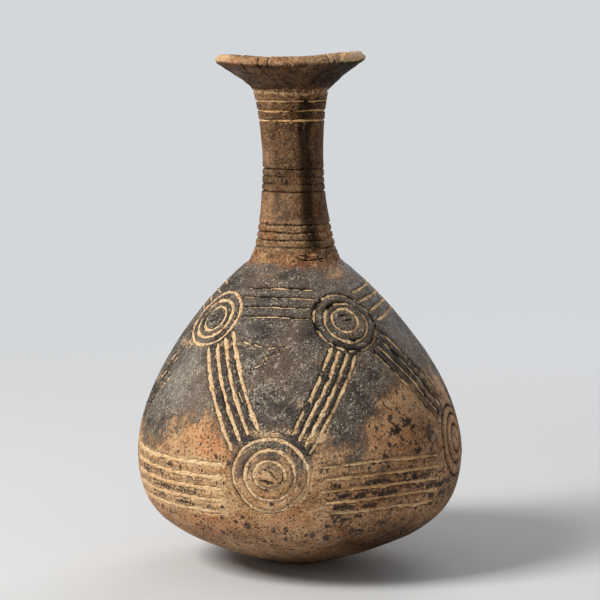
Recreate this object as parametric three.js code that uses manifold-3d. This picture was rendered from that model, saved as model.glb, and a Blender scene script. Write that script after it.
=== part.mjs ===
// A hand-built pottery bottle with a nearly round base, a full belly, a long narrow neck and a wide
// flared mouth. Its body was made from separately formed clay pieces luted together, and then lines
// were cut in the clay and filled with white lime. Millimetres, +Z up, standing on z = 0.
// Turns are in degrees round the bottle: 0 faces the front, -Y, and they grow towards +X.
import * as THREE from "three";
import { mergeVertices } from "three/addons/utils/BufferGeometryUtils.js";
import Module from "manifold-3d";

const wasm = await Module();
wasm.setup();

// Outside of the body
const restRadius = 8; // the small flat that the bottle stands on
const baseAngle = 17; // degrees that the base rises from that flat
const basePull = 35.6; // how far the base runs on before it turns up
const turnPull = 19.5; // how long the turn into the belly is
const bellyRadius = 51.6;
const bellyHeight = 36;
const shoulderRise = 61; // from the widest point to the seat of the neck
const shoulderPull = 20.8;
const seatRadius = 14;
const seatPull = 24;
const seatAngle = 51; // degrees from upright, of the shoulder at the seat

// Walls and joints
const wall = 4.6;
const scarf = 3; // how far each slanted joint climbs through the wall
const gap = 0.3; // between two pieces of clay
const bellySeamDrop = 1; // from the edge of the lowest belly line down to the joint of base and belly
const shoulderSeamDrop = 5; // from the edge of the shoulder roundels down to the joint of belly and shoulder
const seatEdge = 2.2; // thickness of the shoulder at the hole for the neck

// Neck
const boreRadius = 6;
const tenonRadius = 10.4; // the foot of the neck, which goes through the shoulder
const tenonDepth = 6;
const luteRise = 2.4;
const footRadius = 13;
const footAngle = 12; // degrees from upright, of the neck at its foot
const footPull = 6;
const waistRadius = 9.6;
const waistRise = 28.1;
const waistPull = 12.4;
const collarRadius = 12.5;
const collarRise = 23;
const collarPull = 1;
const collarAngle = 62;

// Mouth
const mouthRadius = 23.75;
const mouthRise = 10.4;
const flareAngle = 42; // degrees from upright, where the flare leaves the collar
const flarePull = 3;
const lipAngle = 57; // degrees from upright, where the flare reaches the edge of the lip
const lipPull = 5.5;
const lipDrop = 2.4; // from the top of the lip down to the underside of its edge
const lipEdge = 1.1; // how tall the blunt edge is
const lipBevel = 1.7; // from the edge in to the top of the lip
const throatPull = 5;
const funnelAngle = 64;
const funnelPull = 7.5;
const lipWave = 0.6; // the lip dips at the front and the back
const lipTilt = 0.5; // and stands higher on its right

// The upper part leans to the left, and starts to lean a little above the belly.
const leanAtMouth = 3.2;
const leanStart = 50;
const leanBlend = 8;

// Lines cut in the body, and the lime in them
const lineWidth = 1.6;
const lineDepth = 1.1;
const limeGap = 0.15; // between the lime and the sides of its line
const cutRise = 0.7; // how far a cutting solid stands out of the clay
const lineStep = 10; // length of one straight step of a line

const bellyRoundelTurns = { front: -10.2, right: 73, back: 168, left: 264 };
const bellyRoundelLifts = { front: 0, right: 5, back: 0, left: 2 }; // placed by eye, so some sit higher
const bellyRoundelRise = 1.1; // a belly roundel without a lift has its middle this far above the widest point
const bellyRings = { outer: 11.2, middle: 7.8, inner: 4.4 };
const bareRoundel = "right"; // this one has lost its lime
const shoulderRoundelTurns = { front_left: -55, front_right: 28.8, back_right: 118, back_left: 208 };
const shoulderRoundelClear = 13.8; // from the outer ring of a shoulder roundel up to the seat of the neck
const shoulderRings = { outer: 10.2, middle: 7.1, inner: 4.3 };
const ringStep = 5.6; // length of one straight step of a ring
const fewestRingSteps = 8;

const raysEachWay = 4; // slanting lines from a shoulder roundel down to the next belly roundel
const rayTops = { right: [25, 72], left: [41, 3] }; // first and last, in degrees from straight down
const rayFeet = { right: [60, 15], left: [62, 29] }; // the same round the belly roundel, from straight up
const rayStop = 2.4; // how far off the belly roundel a ray ends

const bellyLines = 5;
const bellyLinePitch = 3.75;
const bellyLineDrop = 5; // the middle line is this far below the middle of a roundel without a lift
const bellyLineStop = 3.5; // and its ends are this far from their rings
const shoulderLines = 4;
const shoulderLinePitch = 3.6;
const shoulderLineLift = 1.9; // the lowest line is this far above the middle of the roundels
const shoulderLineStop = 1.6;
const shoulderLineReach = 5; // the upper lines run on above the roundels, to this far from their middles

// Rings cut in the neck
const neckLineWidth = 1.2;
const neckLineDepth = 0.8;
const neckLinesPerGroup = 4;
const collarLinePitch = 3;
const collarLineDrop = 1; // first line of the top group, below the collar
const waistLinePitch = 2.3;
const waistLineDrop = 2.2; // first line of the middle group, below the waist
const footLinePitch = 2.35;
const footLineRise = 2; // first line of the low group, above the foot
const limedCollarLines = [1, 2, 3]; // counted down from the collar, 0 first

// Fineness of the faceted solids
const bodySides = 36;
const mouthSides = 28;
const neckSides = 20;
const outsideStep = 8;
const insideStep = 11;
const flatness = 0.02; // faces split by the cuts are joined again where they lie this flat

const seatHeight = bellyHeight + shoulderRise;
const luteTop = seatHeight + luteRise;
const waistHeight = luteTop + gap + waistRise;
const collarHeight = waistHeight + collarRise;
const mouthHeight = collarHeight + mouthRise;

const clay = new THREE.MeshStandardMaterial({ color: 0x5a4c40, roughness: 0.75, metalness: 0 });
const lime = new THREE.MeshStandardMaterial({ color: 0xd9c293, roughness: 0.95, metalness: 0 });

const { degToRad, lerp } = THREE.MathUtils;

// A point that lies a length away from another, at an angle from upright.
function offset(point, angle, length) {
  const a = degToRad(angle);
  return new THREE.Vector2(point.x + length * Math.sin(a), point.y + length * Math.cos(a));
}

function at(radius, height) {
  return new THREE.Vector2(radius, height);
}

// The outside of the body as one curve, from the flat at the bottom to the seat of the neck
const rest = at(restRadius, 0);
const belly = at(bellyRadius, bellyHeight);
const seat = at(seatRadius, seatHeight);
const body = new THREE.CurvePath();
body.add(
  new THREE.CubicBezierCurve(
    rest,
    offset(rest, 90 - baseAngle, basePull),
    offset(belly, 180, turnPull),
    belly,
  ),
);
body.add(
  new THREE.CubicBezierCurve(
    belly,
    offset(belly, 0, shoulderPull),
    offset(seat, 180 - seatAngle, seatPull),
    seat,
  ),
);
const bodyLength = body.getLength();

// The outside of the neck, from its foot to the collar
const foot = at(footRadius, luteTop + gap);
const waist = at(waistRadius, waistHeight);
const collar = at(collarRadius, collarHeight);
const neck = new THREE.CurvePath();
neck.add(
  new THREE.CubicBezierCurve(
    foot,
    offset(foot, -footAngle, footPull),
    offset(waist, 180, waistPull),
    waist,
  ),
);
neck.add(
  new THREE.CubicBezierCurve(
    waist,
    offset(waist, 0, waistPull),
    offset(collar, 180 + collarAngle, collarPull),
    collar,
  ),
);

// Outside and inside of the flared mouth, with a thin lip that is blunt at its edge and slopes up inward
const lip = at(mouthRadius, mouthHeight - lipDrop);
const lipTop = at(mouthRadius - lipBevel, mouthHeight);
const flare = new THREE.CubicBezierCurve(
  collar,
  offset(collar, flareAngle, flarePull),
  offset(lip, 180 + lipAngle, lipPull),
  lip,
);
const throat = at(boreRadius, collarHeight - scarf);
const funnel = new THREE.CubicBezierCurve(
  throat,
  offset(throat, 0, throatPull),
  offset(lipTop, 180 + funnelAngle, funnelPull),
  lipTop,
);

// The body's section a length s up from the flat: a point, moved in by depth, and the way out of the clay
function bodySection(s, depth = 0) {
  const t = s / bodyLength;
  const point = body.getPoint(t);
  const along = body.getTangent(t);
  const out = new THREE.Vector2(along.y, -along.x);
  return { point: point.addScaledVector(out, -depth), out };
}

// How far along the body's outside a height is reached
function lengthAt(height) {
  let low = 0;
  let high = bodyLength;
  for (let i = 0; i < 40; i++) {
    const middle = (low + high) / 2;
    if (bodySection(middle).point.y < height) low = middle;
    else high = middle;
  }
  return low;
}

// Evenly spaced points of a curve, both ends included
function pointsOf(curve, step) {
  return curve.getSpacedPoints(Math.ceil(curve.getLength() / step));
}

// Where the middles of the roundels and the belly lines lie, as lengths along the body's outside
const bellyRoundelLength = lengthAt(bellyHeight + bellyRoundelRise);
const shoulderRoundelLength = bodyLength - shoulderRoundelClear - shoulderRings.outer;

function bellyLineLength(line) {
  return bellyRoundelLength - bellyLineDrop + ((bellyLines - 1) / 2 - line) * bellyLinePitch;
}

function wallPoints(from, to, depth, step) {
  const count = Math.ceil(Math.abs(to - from) / step);
  const points = [];
  for (let i = 0; i <= count; i++) points.push(bodySection(lerp(from, to, i / count), depth).point);
  return points;
}

// A closed mesh as a solid, and a solid as a mesh
function solidOf(geometry) {
  const bare = geometry.clone();
  bare.deleteAttribute("normal");
  bare.deleteAttribute("uv");
  const merged = mergeVertices(bare, 1e-4);
  return new wasm.Manifold(
    new wasm.Mesh({
      numProp: 3,
      vertProperties: new Float32Array(merged.attributes.position.array),
      triVerts: new Uint32Array(merged.index.array),
    }),
  );
}

function geometryOf(solid) {
  const mesh = solid.getMesh();
  const geometry = new THREE.BufferGeometry();
  geometry.setAttribute("position", new THREE.BufferAttribute(new Float32Array(mesh.vertProperties), 3));
  geometry.setIndex(new THREE.BufferAttribute(new Uint32Array(mesh.triVerts), 1));
  return geometry;
}

// A turned piece from its outline, which goes up on the outside and down on the inside
function turned(outline, sides) {
  return solidOf(new THREE.LatheGeometry(outline, sides).rotateX(Math.PI / 2));
}

function closed(outline) {
  return [...outline, outline[0].clone()];
}

// The joints of the body keep clear of the roundels and the level lines
function bellySeam() {
  return bellyLineLength(bellyLines - 1) - lineWidth / 2 - bellySeamDrop;
}

function shoulderSeam() {
  return shoulderRoundelLength - shoulderRings.outer - lineWidth / 2 - shoulderSeamDrop;
}

function baseBowl() {
  const rim = bellySeam() - gap / 2;
  return turned(
    [
      at(0, 0),
      ...wallPoints(0, rim, 0, outsideStep),
      ...wallPoints(rim + scarf, 0, wall, insideStep),
      at(0, wall),
    ],
    bodySides,
  );
}

function bellyWall() {
  const low = bellySeam() + gap / 2;
  const high = shoulderSeam() - gap / 2;
  return turned(
    closed([
      ...wallPoints(low, high, 0, outsideStep),
      ...wallPoints(high + scarf, low + scarf, wall, insideStep),
    ]),
    bodySides,
  );
}

function shoulderWall() {
  const low = shoulderSeam() + gap / 2;
  const hole = tenonRadius + gap;
  return turned(
    closed([
      ...wallPoints(low, bodyLength, 0, outsideStep),
      at(hole, seatHeight),
      at(hole, seatHeight - seatEdge),
      ...wallPoints(bodyLength, low + scarf, wall, insideStep),
    ]),
    bodySides,
  );
}

// The ring of clay pressed round the foot of the neck
function neckLute() {
  const hole = tenonRadius + gap;
  const bottom = seatHeight + gap;
  const fillet = new THREE.QuadraticBezierCurve(
    at(seatRadius - gap, bottom),
    at(footRadius + gap, bottom + gap),
    at(footRadius, luteTop),
  );
  return turned(closed([at(hole, bottom), ...pointsOf(fillet, luteRise / 2), at(hole, luteTop)]), neckSides);
}

function neckLineHeights() {
  const groups = { foot: [], waist: [], collar: [] };
  for (let i = 0; i < neckLinesPerGroup; i++) {
    groups.foot.push(luteTop + footLineRise + i * footLinePitch);
    groups.waist.push(waistHeight - waistLineDrop - i * waistLinePitch);
    groups.collar.push(collarHeight - collarLineDrop - i * collarLinePitch);
  }
  return groups;
}

function neckRadiusAt(height) {
  const points = neck.getSpacedPoints(120);
  const above = Math.max(1, points.findIndex((p) => p.y >= height));
  const a = points[above - 1];
  const b = points[above];
  return lerp(a.x, b.x, (height - a.y) / (b.y - a.y));
}

// The neck's outside, with a small notch for each ring cut in it
function neckOutside() {
  const heights = Object.values(neckLineHeights()).flat();
  const notched = heights.flatMap((height) => [
    at(neckRadiusAt(height - neckLineWidth / 2), height - neckLineWidth / 2),
    at(neckRadiusAt(height) - neckLineDepth, height),
    at(neckRadiusAt(height + neckLineWidth / 2), height + neckLineWidth / 2),
  ]);
  const plain = pointsOf(neck, outsideStep).filter((p) =>
    heights.every((height) => Math.abs(p.y - height) > neckLineWidth),
  );
  return [...notched, ...plain].sort((a, b) => a.y - b.y);
}

// The lime that stays in one of the collar's rings
function collarLime(line) {
  const height = neckLineHeights().collar[line];
  const { width, depth } = limeSize(neckLineWidth, neckLineDepth);
  return turned(
    closed([
      at(neckRadiusAt(height) - depth, height),
      at(neckRadiusAt(height - width / 2), height - width / 2),
      at(neckRadiusAt(height + width / 2), height + width / 2),
    ]),
    neckSides,
  );
}

function neckTube() {
  const tenonFoot = seatHeight - tenonDepth;
  return turned(
    closed([
      at(boreRadius, tenonFoot),
      at(tenonRadius, tenonFoot),
      at(tenonRadius, luteTop + gap),
      ...neckOutside(),
      at(boreRadius, collarHeight - scarf - gap),
    ]),
    neckSides,
  );
}

function mouthFlare() {
  const [, ...outside] = pointsOf(flare, outsideStep / 2);
  const edge = at(mouthRadius, lip.y + lipEdge);
  const [, ...inside] = pointsOf(funnel, outsideStep / 2);
  return turned(
    closed([at(collarRadius, collarHeight + gap), ...outside, edge, ...inside.reverse(), throat]),
    mouthSides,
  );
}

// A place on the body's outside, from its turn in degrees and its length along the outside
function onBody({ turn, s }) {
  const { point, out } = bodySection(s);
  const a = degToRad(turn);
  return {
    point: new THREE.Vector3(point.x * Math.sin(a), -point.x * Math.cos(a), point.y),
    out: new THREE.Vector3(out.x * Math.sin(a), -out.x * Math.cos(a), out.y),
  };
}

// A place next to another on the body: some millimetres off, at an angle clockwise from straight up
function beside(place, angle, distance) {
  const a = degToRad(angle);
  const s = place.s + distance * Math.cos(a);
  const radius = bodySection((place.s + s) / 2).point.x;
  return { turn: place.turn + THREE.MathUtils.radToDeg((distance * Math.sin(a)) / radius), s };
}

function ringPath(centre, radius) {
  const steps = Math.max(fewestRingSteps, Math.ceil((2 * Math.PI * radius) / ringStep));
  const places = [];
  for (let i = 0; i < steps; i++) places.push(beside(centre, (360 * i) / steps, radius));
  return places;
}

// A line over the body that keeps its slant, from one place to another. The trim shortens its far end, and
// its near end too where both are trimmed.
function linePath(from, to, { trim = 0, trimBoth = false } = {}) {
  const middle = (from.s + to.s) / 2;
  const across = degToRad(to.turn - from.turn) * bodySection(middle).point.x;
  const length = Math.hypot(across, to.s - from.s);
  const steps = Math.ceil(length / lineStep);
  const turns = [0];
  for (let i = 0; i < steps; i++) {
    const s = lerp(from.s, to.s, (i + 0.5) / steps);
    turns.push(turns[i] + 1 / bodySection(s).point.x);
  }
  const cut = (trim / length) * steps;
  return turns.map((turn, i) => {
    const near = i === 0 && trimBoth ? cut : 0;
    const far = i === steps ? cut : 0;
    const t = (i + near - far) / steps;
    const share = turn / turns[steps] + (near - far) / steps;
    return { turn: lerp(from.turn, to.turn, share), s: lerp(from.s, to.s, t) };
  });
}

// A bar of V section along places on the body. It is half as wide as width at the clay's surface on each
// side, and stands out of the clay by rise.
function vee(places, loop, width, depth, rise) {
  const spots = places.map(onBody);
  const count = spots.length;
  const positions = [];
  spots.forEach(({ point, out }, i) => {
    const before = spots[loop ? (i + count - 1) % count : Math.max(i - 1, 0)].point;
    const after = spots[loop ? (i + 1) % count : Math.min(i + 1, count - 1)].point;
    const side = new THREE.Vector3().crossVectors(after.clone().sub(before), out).normalize();
    const half = (width / 2) * (1 + rise / depth);
    for (const [reach, lift] of [[half, rise], [-half, rise], [0, -depth]])
      positions.push(...point.clone().addScaledVector(side, reach).addScaledVector(out, lift).toArray());
  });
  const index = [];
  for (let i = 0; i < (loop ? count : count - 1); i++)
    for (let k = 0; k < 3; k++) {
      const a = 3 * i + k;
      const b = 3 * i + ((k + 1) % 3);
      const c = (a + 3) % (3 * count);
      const d = (b + 3) % (3 * count);
      index.push(a, c, b, b, c, d);
    }
  const last = 3 * (count - 1);
  if (!loop) index.push(0, 1, 2, last, last + 2, last + 1);
  const geometry = new THREE.BufferGeometry();
  geometry.setAttribute("position", new THREE.Float32BufferAttribute(positions, 3));
  geometry.setIndex(index);
  return solidOf(geometry);
}

function cutAlong(places, loop) {
  return vee(places, loop, lineWidth, lineDepth, cutRise);
}

// The lime in a line keeps limeGap from both slanted sides
function limeSize(width, depth) {
  const slant = Math.hypot(width / 2, depth);
  const limeDepth = depth - (limeGap * slant) / (width / 2);
  return { width: (width * limeDepth) / depth, depth: limeDepth };
}

function limeAlong(places, loop) {
  const { width, depth } = limeSize(lineWidth, lineDepth);
  return vee(places, loop, width, depth, 0);
}

const bellyCentre = (side) => ({
  turn: bellyRoundelTurns[side],
  s: bellyRoundelLength + bellyRoundelLifts[side],
});
const shoulderCentre = (side) => ({ turn: shoulderRoundelTurns[side], s: shoulderRoundelLength });
const bellySides = Object.keys(bellyRoundelTurns);
const shoulderSides = Object.keys(shoulderRoundelTurns);

// The belly roundel next to a shoulder roundel, to its right or left, on the same round of turns
function bellyNextTo(shoulderSide, way) {
  const turn = shoulderRoundelTurns[shoulderSide];
  const right = way === "right";
  const shifted = bellySides.flatMap((side) =>
    [-360, 0, 360].map((round) => ({ ...bellyCentre(side), turn: bellyRoundelTurns[side] + round })),
  );
  const found = shifted.filter((place) => (right ? place.turn > turn : place.turn < turn));
  return found.sort((a, b) => Math.abs(a.turn - turn) - Math.abs(b.turn - turn))[0];
}

function rayPaths(shoulderSide, trims) {
  const paths = [];
  for (const way of ["right", "left"]) {
    const sign = way === "right" ? 1 : -1;
    const top = shoulderCentre(shoulderSide);
    const bottom = bellyNextTo(shoulderSide, way);
    for (let i = 0; i < raysEachWay; i++) {
      const share = i / (raysEachWay - 1);
      const topShare = way === "right" ? share : 1 - share;
      const topAngle = 180 - sign * lerp(...rayTops[way], topShare);
      const footAngle = -sign * lerp(...rayFeet[way], share);
      paths.push(
        linePath(
          beside(top, topAngle, shoulderRings.outer),
          beside(bottom, footAngle, bellyRings.outer + rayStop),
          trims,
        ),
      );
    }
  }
  return paths;
}

// Level lines between each belly or shoulder roundel and the next one to its right
function levelPaths(centres, s, reach, trims) {
  return centres.map((centre, i) => {
    const next = centres[(i + 1) % centres.length];
    const nextTurn = next.turn + (i + 1 < centres.length ? 0 : 360);
    const half = THREE.MathUtils.radToDeg(reach / bodySection(s).point.x);
    return linePath({ turn: centre.turn + half, s }, { turn: nextTurn - half, s }, trims);
  });
}

function bellyLinePaths(line, trims) {
  const centres = bellySides.map(bellyCentre);
  return levelPaths(centres, bellyLineLength(line), bellyRings.outer + bellyLineStop, trims);
}

function shoulderLinePaths(line) {
  const centres = shoulderSides.map(shoulderCentre);
  const lift = shoulderLineLift + line * shoulderLinePitch;
  const reach = Math.sqrt(Math.max(shoulderRings.outer ** 2 - lift ** 2, shoulderLineReach ** 2));
  return levelPaths(centres, shoulderRoundelLength + lift, reach + shoulderLineStop);
}

function allCuts() {
  const cuts = [];
  for (const side of bellySides)
    for (const radius of Object.values(bellyRings))
      cuts.push(cutAlong(ringPath(bellyCentre(side), radius), true));
  for (const side of shoulderSides) {
    for (const radius of Object.values(shoulderRings))
      cuts.push(cutAlong(ringPath(shoulderCentre(side), radius), true));
    for (const path of rayPaths(side)) cuts.push(cutAlong(path, false));
  }
  for (let line = 0; line < bellyLines; line++)
    for (const path of bellyLinePaths(line)) cuts.push(cutAlong(path, false));
  for (let line = 0; line < shoulderLines; line++)
    for (const path of shoulderLinePaths(line)) cuts.push(cutAlong(path, false));
  return cuts;
}

function withCuts(solid, cuts) {
  return cuts.reduce((left, cut) => left.subtract(cut), solid).asOriginal().simplify(flatness);
}

// The last shaping by hand: the lean of the upper part, and the wave and tilt of the lip
function settled(geometry) {
  const position = geometry.getAttribute("position");
  const slope = leanAtMouth / (mouthHeight - leanStart);
  for (let i = 0; i < position.count; i++) {
    const [x, y, z] = [position.getX(i), position.getY(i), position.getZ(i)];
    const above = z - leanStart;
    const lean = (slope * (above + Math.hypot(above, leanBlend))) / 2;
    const turn = Math.atan2(x, -y);
    const share = THREE.MathUtils.smoothstep(z, collarHeight, mouthHeight);
    const lift = share * (lipTilt * Math.sin(turn) - lipWave * Math.cos(2 * turn));
    position.setXYZ(i, x - lean, y, z + lift);
  }
  geometry.computeVertexNormals();
  return geometry;
}

const group = new THREE.Group();

function add(name, solid, material) {
  const mesh = new THREE.Mesh(settled(geometryOf(solid)), material);
  mesh.name = name;
  group.add(mesh);
}

const cuts = allCuts();
add("base_bowl", baseBowl(), clay);
add("belly_wall", withCuts(bellyWall(), cuts), clay);
add("shoulder_wall", withCuts(shoulderWall(), cuts), clay);
add("neck_lute", neckLute(), clay);
add("neck_tube", neckTube(), clay);
add("mouth_flare", mouthFlare(), clay);

for (const line of limedCollarLines) add(`lime_collar_ring_${line}`, collarLime(line), lime);

for (const side of bellySides.filter((name) => name !== bareRoundel))
  for (const [ring, radius] of Object.entries(bellyRings))
    add(`lime_belly_${side}_${ring}_ring`, limeAlong(ringPath(bellyCentre(side), radius), true), lime);

for (const side of shoulderSides) {
  const { outer, ...others } = shoulderRings;
  const rays = rayPaths(side, { trim: limeGap }).map((path) => limeAlong(path, false));
  const ring = limeAlong(ringPath(shoulderCentre(side), outer), true);
  add(`lime_shoulder_${side}_outer_ring_and_rays`, rays.reduce((joined, ray) => joined.add(ray), ring), lime);
  for (const [name, radius] of Object.entries(others))
    add(`lime_shoulder_${side}_${name}_ring`, limeAlong(ringPath(shoulderCentre(side), radius), true), lime);
}

for (let line = 0; line < bellyLines; line++)
  bellyLinePaths(line, { trim: limeGap, trimBoth: true }).forEach((path, i) =>
    add(`lime_belly_line_${line + 1}_right_of_${bellySides[i]}`, limeAlong(path, false), lime),
  );

export default group;
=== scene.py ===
"""The looks of a hand-built pottery bottle: smoke-blackened fired clay over a buff body, with lines cut in it
and filled with white lime. Each piece of clay is a dense mesh with its cuts, burrs and worn places, and each
lime filling is a fine lining of its cut, with the lime that is left in it.
"""

import functools
import math

import bpy
import numpy as np
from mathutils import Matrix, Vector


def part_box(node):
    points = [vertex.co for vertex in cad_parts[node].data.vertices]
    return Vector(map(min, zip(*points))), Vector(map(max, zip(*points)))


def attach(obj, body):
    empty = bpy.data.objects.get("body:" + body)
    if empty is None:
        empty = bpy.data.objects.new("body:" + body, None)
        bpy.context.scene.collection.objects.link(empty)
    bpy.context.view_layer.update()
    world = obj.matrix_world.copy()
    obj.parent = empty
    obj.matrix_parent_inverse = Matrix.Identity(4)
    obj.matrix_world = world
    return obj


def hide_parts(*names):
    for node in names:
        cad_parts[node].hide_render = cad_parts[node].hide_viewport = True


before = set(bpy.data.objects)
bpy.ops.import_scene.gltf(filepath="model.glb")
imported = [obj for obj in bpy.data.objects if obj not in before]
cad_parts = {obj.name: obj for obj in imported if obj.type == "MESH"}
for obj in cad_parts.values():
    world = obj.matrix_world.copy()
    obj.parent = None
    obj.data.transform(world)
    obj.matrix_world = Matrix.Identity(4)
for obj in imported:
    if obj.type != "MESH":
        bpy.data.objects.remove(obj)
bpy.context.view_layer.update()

MM = 0.001  # sizes below are in millimetres, and the scene is in metres


# Sizes, in millimetres and degrees. Turns are 0 at the front, -Y, and grow towards +X. A length s is measured
# up the outside of the body, from the edge of the flat that it stands on.

def box_mm(node):
    low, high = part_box(node)
    return np.array(low) / MM, np.array(high) / MM


def half_depth(node):
    low, high = box_mm(node)
    return (high[1] - low[1]) / 2


REST_RADIUS = 8
BASE_ANGLE = 17
BASE_PULL = 35.6
TURN_PULL = 19.5
BELLY_RADIUS = half_depth("belly_wall")
BELLY_HEIGHT = 36
SHOULDER_PULL = 20.8
SEAT_RADIUS = 14
SEAT_PULL = 24
SEAT_ANGLE = 51
SEAT_HEIGHT = box_mm("shoulder_wall")[1][2]
WALL = 4.6
SCARF = 3
BELLY_SEAM = 48.7
SHOULDER_SEAM = 95.6
SEAT_EDGE = 2.2

BORE_RADIUS = 6
TENON_RADIUS = 10.4
TENON_DEPTH = 6
LUTE_TOP = box_mm("neck_lute")[1][2]
FOOT_RADIUS = 13
FOOT_ANGLE = 12
FOOT_PULL = 6
WAIST_RADIUS = 9.6
WAIST_RISE = 28.4
WAIST_PULL = 12.4
COLLAR_RADIUS = 12.5
COLLAR_RISE = 23
COLLAR_PULL = 1
COLLAR_ANGLE = 62

MOUTH_RADIUS = half_depth("mouth_flare")
MOUTH_RISE = 10.4
FLARE_ANGLE = 42
FLARE_PULL = 3
LIP_ANGLE = 57
LIP_PULL = 5.5
LIP_DROP = 2.4
LIP_EDGE = 1.1
LIP_BEVEL = 1.7
THROAT_PULL = 5
FUNNEL_ANGLE = 64
FUNNEL_PULL = 7.5
LIP_WAVE = 0.6
LIP_TILT = 0.5

LEAN_AT_MOUTH = 3.2
LEAN_START = 50
LEAN_BLEND = 8

WAIST_HEIGHT = LUTE_TOP + WAIST_RISE
COLLAR_HEIGHT = WAIST_HEIGHT + COLLAR_RISE
MOUTH_HEIGHT = COLLAR_HEIGHT + MOUTH_RISE

BELLY_ROUNDELS = {"front": -10.2, "right": 73, "back": 168, "left": 264}
BELLY_LIFTS = {"front": 0, "right": 5, "back": 0, "left": 2}
BELLY_RINGS = {"outer": 11.2, "middle": 7.8, "inner": 4.4}
BELLY_ROUNDEL_RISE = 1.1
BARE_ROUNDEL = "right"
SHOULDER_ROUNDELS = {"front_left": -55, "front_right": 28.8, "back_right": 118, "back_left": 208}
SHOULDER_RINGS = {"outer": 10.2, "middle": 7.1, "inner": 4.3}
SHOULDER_ROUNDEL_CLEAR = 13.8
RAYS_EACH_WAY = 4
RAY_TOPS = {"right": (25, 72), "left": (41, 3)}
RAY_FEET = {"right": (60, 15), "left": (62, 29)}
RAY_START = 0.9  # from the middle of the outer ring's line to the start of a ray
RAY_STOP = 2.4
BELLY_LINES = 5
BELLY_LINE_PITCH = 3.75
BELLY_LINE_DROP = 5
BELLY_LINE_STOP = 3.5
SHOULDER_LINES = 4
SHOULDER_LINE_PITCH = 3.6
SHOULDER_LINE_LIFT = 1.9
SHOULDER_LINE_STOP = 1.6
SHOULDER_LINE_REACH = 5
NECK_LINES = 4
COLLAR_LINE_PITCH = 3
COLLAR_LINE_DROP = 1
WAIST_LINE_PITCH = 2.3
WAIST_LINE_DROP = 2.2
FOOT_LINE_PITCH = 2.35
FOOT_LINE_RISE = 2
LIMED_COLLAR_LINES = (1, 2, 3)

# Fineness of the meshes: columns round them, and steps along the outline and the lines
BODY_COLUMNS = 780
NECK_COLUMNS = 320
LUTE_COLUMNS = 420
MOUTH_COLUMNS = 520
BASE_STEP = 0.52
BODY_STEP = 0.42
NECK_STEP = 0.2
LUTE_STEP = 0.18
MOUTH_STEP = 0.3
INSIDE_STEP = 4
BORE_ROWS = 12
LINE_STEP = 0.5
LINING_STEP = 0.27


# Noise in space, the same each run. The number at the end of a call is a seed.

TABLE_SIZE = 8192
TABLE = np.random.default_rng(4817).uniform(-1, 1, TABLE_SIZE)
HASH = (73856093, 19349663, 83492791)
SEED_STEP = 7919


def noise(points, size, seed):
    """Smooth noise from -1 to 1 over an array of points, with lumps about as large as size."""
    q = points / size + 100.0
    cell = np.floor(q).astype(np.int64)
    f = q - cell
    f = f * f * (3 - 2 * f)
    total = 0.0
    for corner in np.ndindex(2, 2, 2):
        key, share = 0, 1.0
        for axis, side in enumerate(corner):
            key = key ^ (cell[..., axis] + side) * HASH[axis]
            share = share * (f[..., axis] if side else 1 - f[..., axis])
        total = total + share * TABLE[(key + seed * SEED_STEP) & (TABLE_SIZE - 1)]
    return total


def rough(points, size, seed, octaves=3):
    """Noise of several sizes together, each half as large as the one before."""
    shares = [0.5**k for k in range(octaves)]
    return sum(noise(points, size * h, seed + 11 * k) * h for k, h in enumerate(shares)) / sum(shares)


def step(low, high, x):
    t = np.clip((x - low) / (high - low), 0, 1)
    return t * t * (3 - 2 * t)


def bump(x, width):
    return np.exp(-((x / width) ** 2))


def turn_from(middle, turn):
    """How far a turn is from a middle one, from -180 to 180."""
    return (turn - middle + 180) % 360 - 180


# Curves of the outline

def offset(point, angle, length):
    a = math.radians(angle)
    return np.array([point[0] + length * math.sin(a), point[1] + length * math.cos(a)])


def bezier(*knots, count=500):
    """Points along a curve of two to four knots."""
    t = np.linspace(0, 1, count)[:, None]
    points = [np.array(k, float)[None, :] for k in knots]
    while len(points) > 1:
        points = [a * (1 - t) + b * t for a, b in zip(points, points[1:])]
    return points[0]


class Outline:
    """A line of points up the outside of the bottle, walked by its length."""

    def __init__(self, *curves):
        self.points = np.concatenate([curves[0]] + [c[1:] for c in curves[1:]])
        self.s = np.concatenate([[0], np.cumsum(np.hypot(*np.diff(self.points, axis=0).T))])
        self.length = self.s[-1]
        along = np.gradient(self.points, self.s, axis=0)
        self.out = np.stack([along[:, 1], -along[:, 0]], 1)

    def at(self, s):
        """Radius, height and the way out of the clay, at lengths s."""
        radius, height, *out = (np.interp(s, self.s, v) for v in (*self.points.T, *self.out.T))
        out = np.stack(out, -1)
        return radius, height, out / np.linalg.norm(out, axis=-1, keepdims=True)

    def length_at(self, height):
        return np.interp(height, self.points[:, 1], self.s)


def body_outline():
    rest, belly, seat = (REST_RADIUS, 0), (BELLY_RADIUS, BELLY_HEIGHT), (SEAT_RADIUS, SEAT_HEIGHT)
    return Outline(
        bezier(rest, offset(rest, 90 - BASE_ANGLE, BASE_PULL), offset(belly, 180, TURN_PULL), belly),
        bezier(belly, offset(belly, 0, SHOULDER_PULL), offset(seat, 180 - SEAT_ANGLE, SEAT_PULL), seat),
    )


def neck_outline():
    foot, waist = (FOOT_RADIUS, LUTE_TOP), (WAIST_RADIUS, WAIST_HEIGHT)
    collar = (COLLAR_RADIUS, COLLAR_HEIGHT)
    return Outline(
        bezier(foot, offset(foot, -FOOT_ANGLE, FOOT_PULL), offset(waist, 180, WAIST_PULL), waist),
        bezier(waist, offset(waist, 0, WAIST_PULL), offset(collar, 180 + COLLAR_ANGLE, COLLAR_PULL), collar),
    )


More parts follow.
